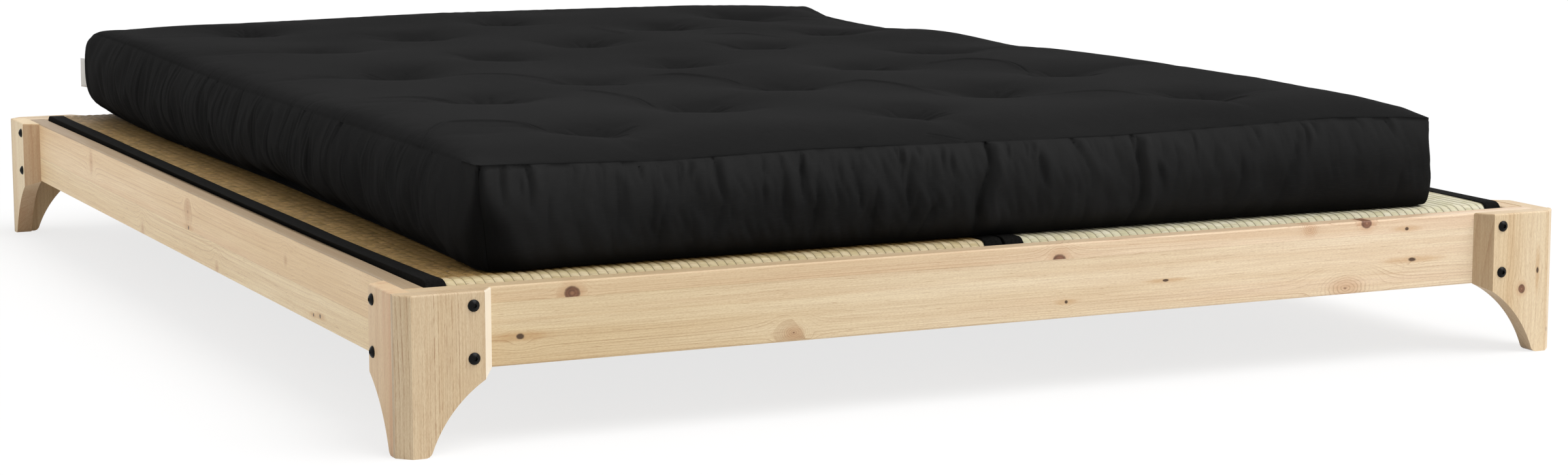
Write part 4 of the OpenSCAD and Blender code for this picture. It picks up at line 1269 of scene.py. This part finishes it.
# Creases of the top panel, as points in metres from the middle of the mattress, and their depth
creases = (
    (
        0.0034, (-0.700, -0.775), (-0.654, -0.700), (-0.619, -0.669), (-0.554, -0.700), (-0.532, -0.743),
        (-0.519, -0.798),
    ),
    (0.0022, (-0.621, -0.318), (-0.549, -0.334), (-0.491, -0.391)),
    (0.0018, (-0.610, -0.430), (-0.550, -0.367), (-0.503, -0.371)),
    (0.0036, (-0.307, -0.360), (-0.289, -0.408), (-0.279, -0.480), (-0.281, -0.572)),
    (0.0038, (-0.113, -0.152), (-0.084, -0.156), (-0.063, -0.177), (-0.047, -0.239), (-0.044, -0.336)),
    (0.0022, (0.231, 0.406), (0.297, 0.403), (0.331, 0.316)),
    (0.0022, (0.109, 0.641), (0.105, 0.468)),
    (0.0038, (0.076, -0.407), (0.123, -0.419), (0.150, -0.515), (0.146, -0.662)),
    (0.0036, (0.337, -0.200), (0.412, -0.189), (0.447, -0.254), (0.432, -0.373)),
    (0.0024, (0.280, -0.688), (0.365, -0.710), (0.391, -0.791)),
    (0.0024, (-0.389, -0.052), (-0.321, -0.096), (-0.264, -0.167)),
    (0.0018, (-0.067, -0.969), (-0.023, -0.995)),
)


def smooth_course(stations, steps=8):
    """Points along a smooth curve through the stations."""
    ends = [stations[0], *stations, stations[-1]]
    course = []
    for first, second, third, fourth in zip(ends, ends[1:], ends[2:], ends[3:]):
        first, second, third, fourth = (np.array(station) for station in (first, second, third, fourth))
        for step in range(steps):
            share = step / steps
            course.append(0.5 * (
                2 * second + (third - first) * share
                + (2 * first - 5 * second + 4 * third - fourth) * share ** 2
                + (3 * second - first - 3 * third + fourth) * share ** 3
            ))
    return np.array(course + [np.array(stations[-1])])


def along_course(course, across, along):
    """The signed distance of places from a curve, and how far along the curve they are, 0 to 1."""
    nearest = np.full(len(across), 9.0)
    share = np.zeros(len(across))
    for number, (start, end) in enumerate(zip(course, course[1:])):
        run = end - start
        length = max(float(np.hypot(*run)), 1e-6)
        part = np.clip(((across - start[0]) * run[0] + (along - start[1]) * run[1]) / length ** 2, 0, 1)
        off = np.hypot(across - start[0] - part * run[0], along - start[1] - part * run[1])
        side = np.sign((across - start[0]) * run[1] - (along - start[1]) * run[0])
        closer = off < np.abs(nearest)
        nearest = np.where(closer, off * side, nearest)
        share = np.where(closer, (number + part) / (len(course) - 1), share)
    return nearest, share


def valley(off, width, ridge=0.5):
    """A fold's section: a sharp crease in a soft valley, with a rounded ridge beside it."""
    sharp = 0.5 * np.exp(-np.abs(off / (0.45 * width)) ** 1.4)
    soft = 0.5 * np.exp(-(off / (1.3 * width)) ** 2)
    return ridge * np.exp(-((off - 2.8 * width) / (2.0 * width)) ** 2) - sharp - soft


# Folds of the side band: side, place along it, top and bottom as shares of the height from the
# seam down, lean in metres, depth and width. The front ones follow the photograph.
front_folds = (
    (-0.722, 0.00, 0.55, -0.030, 0.0030, 0.0045), (-0.690, 0.00, 0.35, -0.012, 0.0034, 0.0040),
    (-0.662, 0.00, 0.42, 0.010, 0.0034, 0.0042), (-0.540, 0.05, 0.60, -0.010, 0.0020, 0.0060),
    (-0.505, 0.10, 0.80, 0.020, 0.0022, 0.0060), (-0.468, 0.00, 0.30, 0.022, 0.0026, 0.0045),
    (-0.455, 0.35, 0.95, -0.045, 0.0024, 0.0055), (-0.405, 0.00, 0.45, 0.010, 0.0034, 0.0050),
    (-0.390, 0.40, 0.95, -0.030, 0.0028, 0.0060), (-0.345, 0.00, 0.30, -0.010, 0.0022, 0.0045),
    (-0.322, 0.15, 0.75, 0.018, 0.0034, 0.0055), (-0.290, 0.10, 0.60, 0.006, 0.0024, 0.0050),
    (-0.262, 0.20, 0.90, -0.020, 0.0030, 0.0060), (-0.215, 0.10, 0.60, -0.014, 0.0024, 0.0060),
    (-0.190, 0.40, 0.95, 0.008, 0.0028, 0.0055), (-0.150, 0.05, 0.45, 0.008, 0.0030, 0.0050),
    (-0.132, 0.10, 0.75, -0.010, 0.0034, 0.0055), (-0.110, 0.45, 1.00, -0.036, 0.0030, 0.0055),
    (-0.070, 0.55, 1.00, -0.050, 0.0026, 0.0050), (-0.021, 0.00, 0.98, -0.012, 0.0058, 0.0060),
    (0.060, 0.10, 0.50, 0.004, 0.0032, 0.0050), (0.048, 0.00, 0.18, 0.010, 0.0026, 0.0040),
    (0.112, 0.00, 0.60, 0.034, 0.0022, 0.0060), (0.200, 0.00, 0.25, 0.016, 0.0036, 0.0040),
    (0.212, 0.00, 0.95, -0.010, 0.0046, 0.0050), (0.262, 0.10, 0.70, -0.012, 0.0018, 0.0070),
    (0.325, 0.15, 0.55, -0.006, 0.0016, 0.0060), (0.395, 0.00, 0.25, -0.006, 0.0024, 0.0045),
    (0.372, 0.30, 0.95, -0.022, 0.0028, 0.0070), (0.455, 0.05, 0.95, -0.030, 0.0022, 0.0070),
    (0.480, 0.00, 0.22, 0.008, 0.0024, 0.0045), (0.560, 0.00, 0.16, 0.010, 0.0024, 0.0040),
    (0.600, 0.00, 0.22, 0.012, 0.0032, 0.0045), (0.630, 0.55, 0.95, -0.024, 0.0020, 0.0050),
)
# How strong the strewn folds are at places along the left side, which has most of them a third of
# the way back, and along the foot side, and how strongly the foot side is crumpled between them
left_strength = ((-0.96, -0.8, -0.5, -0.3, 0.35, 0.75, 0.9), (0.05, 0.3, 0.75, 1.0, 0.9, 0.35, 0.05))
front_strength = ((-0.7, -0.5, -0.3, 0.0, 0.2, 0.7), (0.5, 0.8, 1.0, 1.0, 0.5, 0.35))
crumple_strength = ((-0.72, -0.62, -0.48, 0.0, 0.25, 0.5, 0.7), (0.1, 0.5, 1.0, 1.0, 0.7, 0.5, 0.25))
# The sides, half their length, and the mean step from one strewn fold to the next
band_sides = (
    ("left", half_along, 0.0150), ("right", half_along, 0.042),
    ("back", half_across, 0.050), ("front", half_across, 0.026),
)
band_folds = [("front", spot - middle.x, *fold) for spot, *fold in front_folds]
chance = random.Random(17)
for side_name, half_side, mean_step in band_sides:
    spot = -half_side + 0.03
    while spot < half_side - 0.04:
        spot += mean_step * (0.3 + chance.expovariate(1.4))
        top = chance.choice((0.0, 0.0, 0.0, 0.1, 0.25, 0.45))
        bottom = min(1.0, top + chance.choice((0.25, 0.5, 0.8, 1.0)))
        strength = chance.choice((0.3, 0.4, 0.5, 0.6, 0.8, 1.4))
        lean = chance.uniform(-0.010, 0.010)
        width = chance.uniform(0.0022, 0.0040)
        if side_name == "left":
            strength *= np.interp(spot, *left_strength)
            band_folds.append((side_name, spot, top, bottom, lean, 0.0030 * strength, width * 0.75))
        elif side_name == "front":
            bottom = min(1.0, top + chance.uniform(0.12, 0.4))
            lean = chance.choice((-0.02, -0.008, 0.006, 0.016))
            strength *= np.interp(spot, *front_strength)
            band_folds.append((side_name, spot, top, bottom, lean, 0.0034 * strength, width))
        else:
            band_folds.append((side_name, spot, top, bottom, lean * 2, 0.0028 * strength, width * 1.3))
# How far the folds of the left band bow along it, half way down
left_bow = 0.016

# The seams, the band and the creases need finer cells than the rest of the cover
shape = bmesh.new()
shape.from_mesh(cover.data)
across_layer = shape.verts.layers.float["flat_across"]
along_layer = shape.verts.layers.float["flat_along"]
rise_layer = shape.verts.layers.float["flat_rise"]


def off_edges(corner):
    """How far a corner of the flat cover lies in from its long sides and from its ends."""
    return half_across - abs(corner[across_layer]), half_along - abs(corner[along_layer])


def on_band(edge):
    """Whether an edge runs level round the side band, between its two seams."""
    first, second = edge.verts
    level = abs(first[rise_layer] - second[rise_layer]) < 1e-4
    return level and 1e-4 < first[rise_layer] < 1.0 - 1e-4


def on_shown_side(edge):
    """Whether an edge lies on the left or the foot side, whose folds are the finest."""
    return any(
        all(half - abs(corner[layer]) < seam_reach and corner[layer] < 0 for corner in edge.verts)
        for layer, half in ((across_layer, half_across), (along_layer, half_along))
    )


# The cells this near to a crease, to a tuft and to the left seam are cut finer too
crease_reach = 0.011
tuft_reach = 0.065
shoulder_reach = 0.055
band_edges = [edge for edge in shape.edges if on_band(edge)]
shown_edges = [edge for edge in band_edges if on_shown_side(edge)]
other_edges = [edge for edge in band_edges if not on_shown_side(edge)]
courses = [smooth_course(stations) for _, *stations in creases]
edge_places = np.array([
    ((edge.verts[0][across_layer] + edge.verts[1][across_layer]) / 2,
     (edge.verts[0][along_layer] + edge.verts[1][along_layer]) / 2,
     min(edge.verts[0][rise_layer], edge.verts[1][rise_layer]))
    for edge in shape.edges
])
close = np.zeros(len(edge_places), bool)
on_crease = np.zeros(len(edge_places), bool)
for course in courses:
    off, _ = along_course(course, edge_places[:, 0], edge_places[:, 1])
    on_crease |= np.abs(off) < crease_reach
on_crease &= edge_places[:, 2] > 0.999
for tuft_across, tuft_along in tufts:
    close |= np.hypot(edge_places[:, 0] - tuft_across, edge_places[:, 1] - tuft_along) < tuft_reach
close |= half_across + edge_places[:, 0] < shoulder_reach
close &= (edge_places[:, 2] > 0.999) & ~on_crease
wrinkled_edges = [edge for edge, near in zip(shape.edges, close) if near]
crease_edges = [edge for edge, near in zip(shape.edges, on_crease) if near]
for edges, cuts in ((other_edges + wrinkled_edges, 1), (shown_edges + crease_edges, 3)):
    standing = [edge for edge in edges if edge.is_valid]
    bmesh.ops.subdivide_edges(shape, edges=standing, cuts=cuts, use_grid_fill=True)
shape.normal_update()

places = np.array([
    (*corner.co, *corner.normal, corner[across_layer], corner[along_layer], corner[rise_layer])
    for corner in shape.verts
])
points, normals = places[:, :3], places[:, 3:6]
flat_x, flat_y, rise = places[:, 6], places[:, 7], places[:, 8]
down = 1 - rise
edge = np.minimum(half_across - np.abs(flat_x), half_along - np.abs(flat_y))
side_reach = {
    "left": (half_across + flat_x, flat_y), "right": (half_across - flat_x, flat_y),
    "front": (half_along + flat_y, flat_x), "back": (half_along - flat_y, flat_x),
}
lift = np.zeros(len(points))
on_top = rise > 0.9995
band = (edge < seam_reach) & (rise > 0.0005) & (rise < 0.9995)
# The gathers of the left band run on over the seam and fade out on the shoulder
over_shoulder = np.where(on_top, np.exp(-np.clip(half_across + flat_x, 0, None) / 0.030), 0.0)
for side_name, spot, top, bottom, lean, depth, width in band_folds:
    inset, run = side_reach[side_name]
    bow = 0.004 * np.sin(down * 7.0 + spot * 40.0)
    if side_name == "left":
        bow = left_bow * np.sin(math.pi * down)
    off = run - spot - lean * down - bow
    ends = np.clip((down - top) / (0.05 if top == 0.0 else 0.10), 0, 1)
    ends *= np.clip((bottom - down) / 0.22, 0, 1) ** 0.7
    spread = width * (0.8 + 0.5 * down)
    if side_name == "left":
        fold = depth * valley(off, spread, 0.3)
    else:
        fold = depth * (1.6 * valley(off, spread * 0.85, 0.8))
    lift += np.where(band & (inset < seam_reach), fold * ends, 0.0)
    if side_name == "left" and top == 0.0:
        lift += over_shoulder * fold * 0.3

# Between its folds the foot band is crumpled: bulges a few centimetres wide meet in sharp creases
crumple = np.zeros(len(points))
slanted = (flat_x + 0.35 * rise * band_height, rise * band_height * 0.55)
for seed, size, height in ((41, 0.060, 0.0030), (42, 0.034, 0.0017)):
    crumple += height * np.abs(swells(slanted, seed, size, 5))
crumple *= np.interp(flat_x, *crumple_strength) * np.clip(down / 0.12, 0, 1) * np.clip(rise / 0.2, 0, 1)
lift += np.where(band & (half_along + flat_y < seam_reach), crumple, 0.0)

# Fans of short wrinkles run out from the tufts, and the long creases join some of them
for (depth, *_), course in zip(creases, courses):
    off, share = along_course(course, flat_x, flat_y)
    taper = np.sin(math.pi * np.clip(share * 0.96 + 0.02, 0, 1)) ** 0.7
    lift += np.where(on_top, 1.25 * depth * taper * valley(off, 0.0021), 0.0)
for tuft_across, tuft_along in tufts:
    off_across, off_along = flat_x - tuft_across, flat_y - tuft_along
    for _ in range(8):
        heading = chance.uniform(0, math.tau)
        start = chance.uniform(0.008, 0.022)
        length = chance.uniform(0.022, 0.055)
        depth = chance.uniform(0.0010, 0.0030)
        out = off_across * math.cos(heading) + off_along * math.sin(heading)
        aside = off_along * math.cos(heading) - off_across * math.sin(heading)
        aside += 3.0 * chance.uniform(-1, 1) * out ** 2
        part = np.clip((out - start) / length, 0, 1)
        lift += np.where(on_top, depth * np.sin(math.pi * part) ** 0.7 * valley(aside, 0.0030), 0.0)

# The cloth puckers beside the seams, between the stitches that gathered it
ripple_across = np.sin(flat_x * 210.0 + 2.0 * np.sin(flat_x * 37.0))
ripple_along = np.sin(flat_y * 190.0 + 2.0 * np.sin(flat_y * 41.0))
lift += np.where(on_top, 0.0003 * ripple_across * ripple_along * np.exp(-edge / 0.012), 0.0)
points += normals * lift[:, None]

# The left band's folds pinch its foot, so that the bottom edge runs in and out
foot = np.exp(-rise / 0.22) * np.clip(edge < seam_reach, 0, 1)
pinch = 0.0035 * np.sin(flat_y * 31.0 + 1.6 * np.sin(flat_y * 13.0))
points[:, 0] += np.where(flat_x < -half_across + seam_reach, foot * (pinch + 0.003), 0.0)
for corner, point in zip(shape.verts, points):
    corner.co = point


# The panels' edges are turned in and stitched at the seams, which leaves a narrow groove
def on_seam(edge):
    """Whether an edge lies on the top seam or on one of the seams up the band's corners."""
    insets = [off_edges(corner) for corner in edge.verts]
    at_top = all(corner[rise_layer] > 0.9995 for corner in edge.verts)
    on_rim = at_top and all(min(inset) < seam_reach for inset in insets)
    return on_rim or all(max(inset) < seam_reach for inset in insets)


seam_edges = [edge for edge in shape.edges if on_seam(edge)]
seam_tree = KDTree(len(shape.verts))
seam_corners = {corner for edge in seam_edges for corner in edge.verts}
for corner in seam_corners:
    seam_tree.insert(corner.co, 0)
seam_tree.balance()
groove_half = 0.0005
groove_depth = 0.0009
made = bmesh.ops.bevel(
    shape, geom=seam_edges, offset=groove_half, segments=2, profile=0.5, affect="EDGES", material=-1,
    clamp_overlap=True,
)
shape.normal_update()
for corner in made["verts"]:
    _, _, off = seam_tree.find(corner.co)
    if off < groove_half * 0.72:
        corner.co -= corner.normal * groove_depth
bmesh.ops.recalc_face_normals(shape, faces=shape.faces)
shape.to_mesh(cover.data)
shape.free()
cover.data.shade_smooth()

drill = Finish("black_cotton_drill")
weave_place = drill.node("UVMap", {"uv_map": "cloth"})
weave_x, weave_y = drill.split(weave_place, "XY")
twill = ((weave_x + weave_y) * 5400.0).math("SINE")
yarn = ((weave_x - weave_y) * 5400.0).math("SINE")
slub_place = drill.node("Mapping", None, {"Vector": weave_place, "Scale": (60.0, 900.0, 1.0)})
slubs = drill.noise(slub_place, 1.0, 3.0)
clouds = drill.noise(drill.node("TexCoord", out="Object"), 3.5, 4.0)
crinkle_place = drill.node("Mapping", None, {"Vector": weave_place, "Scale": (46.0, 20.0, 1.0)})
crinkles = drill.noise(crinkle_place, 1.0, 3.0, distortion=0.6)
drill_tint = drill.blend(clouds.fade(0.3, 0.7), "1a1a1a", "1f1f1f")
drill_tint = drill.blend(slubs.fade(0.45, 0.8, 0.0, 0.4), drill_tint, "272727")
across, along, rise = (
    drill.node("Attribute", {"attribute_name": "flat_" + name}, out="Fac")
    for name in ("across", "along", "rise")
)
from_left = across + half_across
# Painted shade darkens the band towards its foot
drill_tint = drill.blend(rise.fade(0.0, 0.20, 0.7, 0.0), drill_tint, "080808")
# The left foot corner, drawn under by its seam, gets painted shade and is the darkest part of the band
corner_reach = rise.fade(0.0, 1.0, 0.085, 0.012)
corner_shade = ((from_left + (along + half_along)) / corner_reach).fade(0.35, 1.0, 0.62, 0.0)
drill_tint = drill.blend(corner_shade * rise.fade(0.93, 0.99, 1.0, 0.0), drill_tint, "040404")
# Just under its seam the band gets a painted highlight, and the top gets painted shade towards the head
seam_painted_highlight = rise.fade(0.40, 0.98, 0.0, 0.45) * rise.fade(0.985, 1.0, 1.0, 0.0)
drill_tint = drill.blend(seam_painted_highlight * from_left.fade(0.0, 0.02, 0.3, 1.0), drill_tint, "303030")
head_painted_shade = along.fade(-0.4, 0.9, 0.0, 0.20) * rise.fade(0.985, 1.0)
drill_tint = drill.blend(head_painted_shade, drill_tint, "020202")
weave_relief = drill.relief(twill * 0.6 + yarn * 0.2 + slubs, 0.3, 0.0003)
drill.surface(drill_tint, 1.0, drill.relief(crinkles, 0.5, 0.0016, over=weave_relief), shine=0.04)
cover.data.materials.clear()
cover.data.materials.append(drill.material)
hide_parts("mattress_top_panel", "mattress_side_band", "mattress_bottom_panel")
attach(cover, "mattress")


# The maker's tag. A short loop of white cotton tape, left bare, is folded over and caught in the
# seam of the band near the left head corner.
tag_low, tag_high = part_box("mattress_tag")
tag_columns = 24
tag_rows = 10
tag_height = tag_high.z - tag_low.z
tag_leaf = tag_high.y - tag_low.y
tag_thick = 0.0006
tag_gap = 0.0016
shape = grid(tag_columns, tag_rows)


def looped(points):
    run = points[:, 0]
    share = (points[:, 1] + 1) / 2
    out = tag_leaf * (1 - np.abs(run) ** 1.6)
    x = tag_high.x - (tag_high.x - tag_low.x - tag_gap) * out / tag_leaf
    x -= tag_gap * np.sign(run) * np.clip(np.abs(run) * 4, 0, 1) ** 0.5 / 2 + tag_gap / 2
    y = tag_low.y - 0.002 + out + 0.0008 * np.sin(share * 4.2 + 0.6) * out / tag_leaf
    z = tag_low.z + tag_height * share + 0.0010 * np.sin(share * 3.1) * out / tag_leaf
    return np.column_stack([x, y, z])


moved(shape, looped)
bmesh.ops.recalc_face_normals(shape, faces=shape.faces)
bmesh.ops.solidify(shape, geom=shape.faces, thickness=tag_thick)
tag = joined("bare_tag", shape)
tape = Finish("tag_tape")
place = tape.node("TexCoord", out="Object")
run, tall = tape.split(place, "YZ")
satin = ((run * 9000.0).math("SINE") * (tall * 7000.0).math("SINE")).fade(-1.0, 1.0)
lint = tape.noise(place, 300.0, 3.0)
tape_tint = tape.blend(satin * 0.5 + lint * 0.3, "e4e2dd", "f6f5f1")
tag.data.materials.append(tape.surface(tape_tint, 0.8, tape.relief(satin + lint, 0.3, 0.0002)))
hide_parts("mattress_tag")
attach(tag, "mattress")
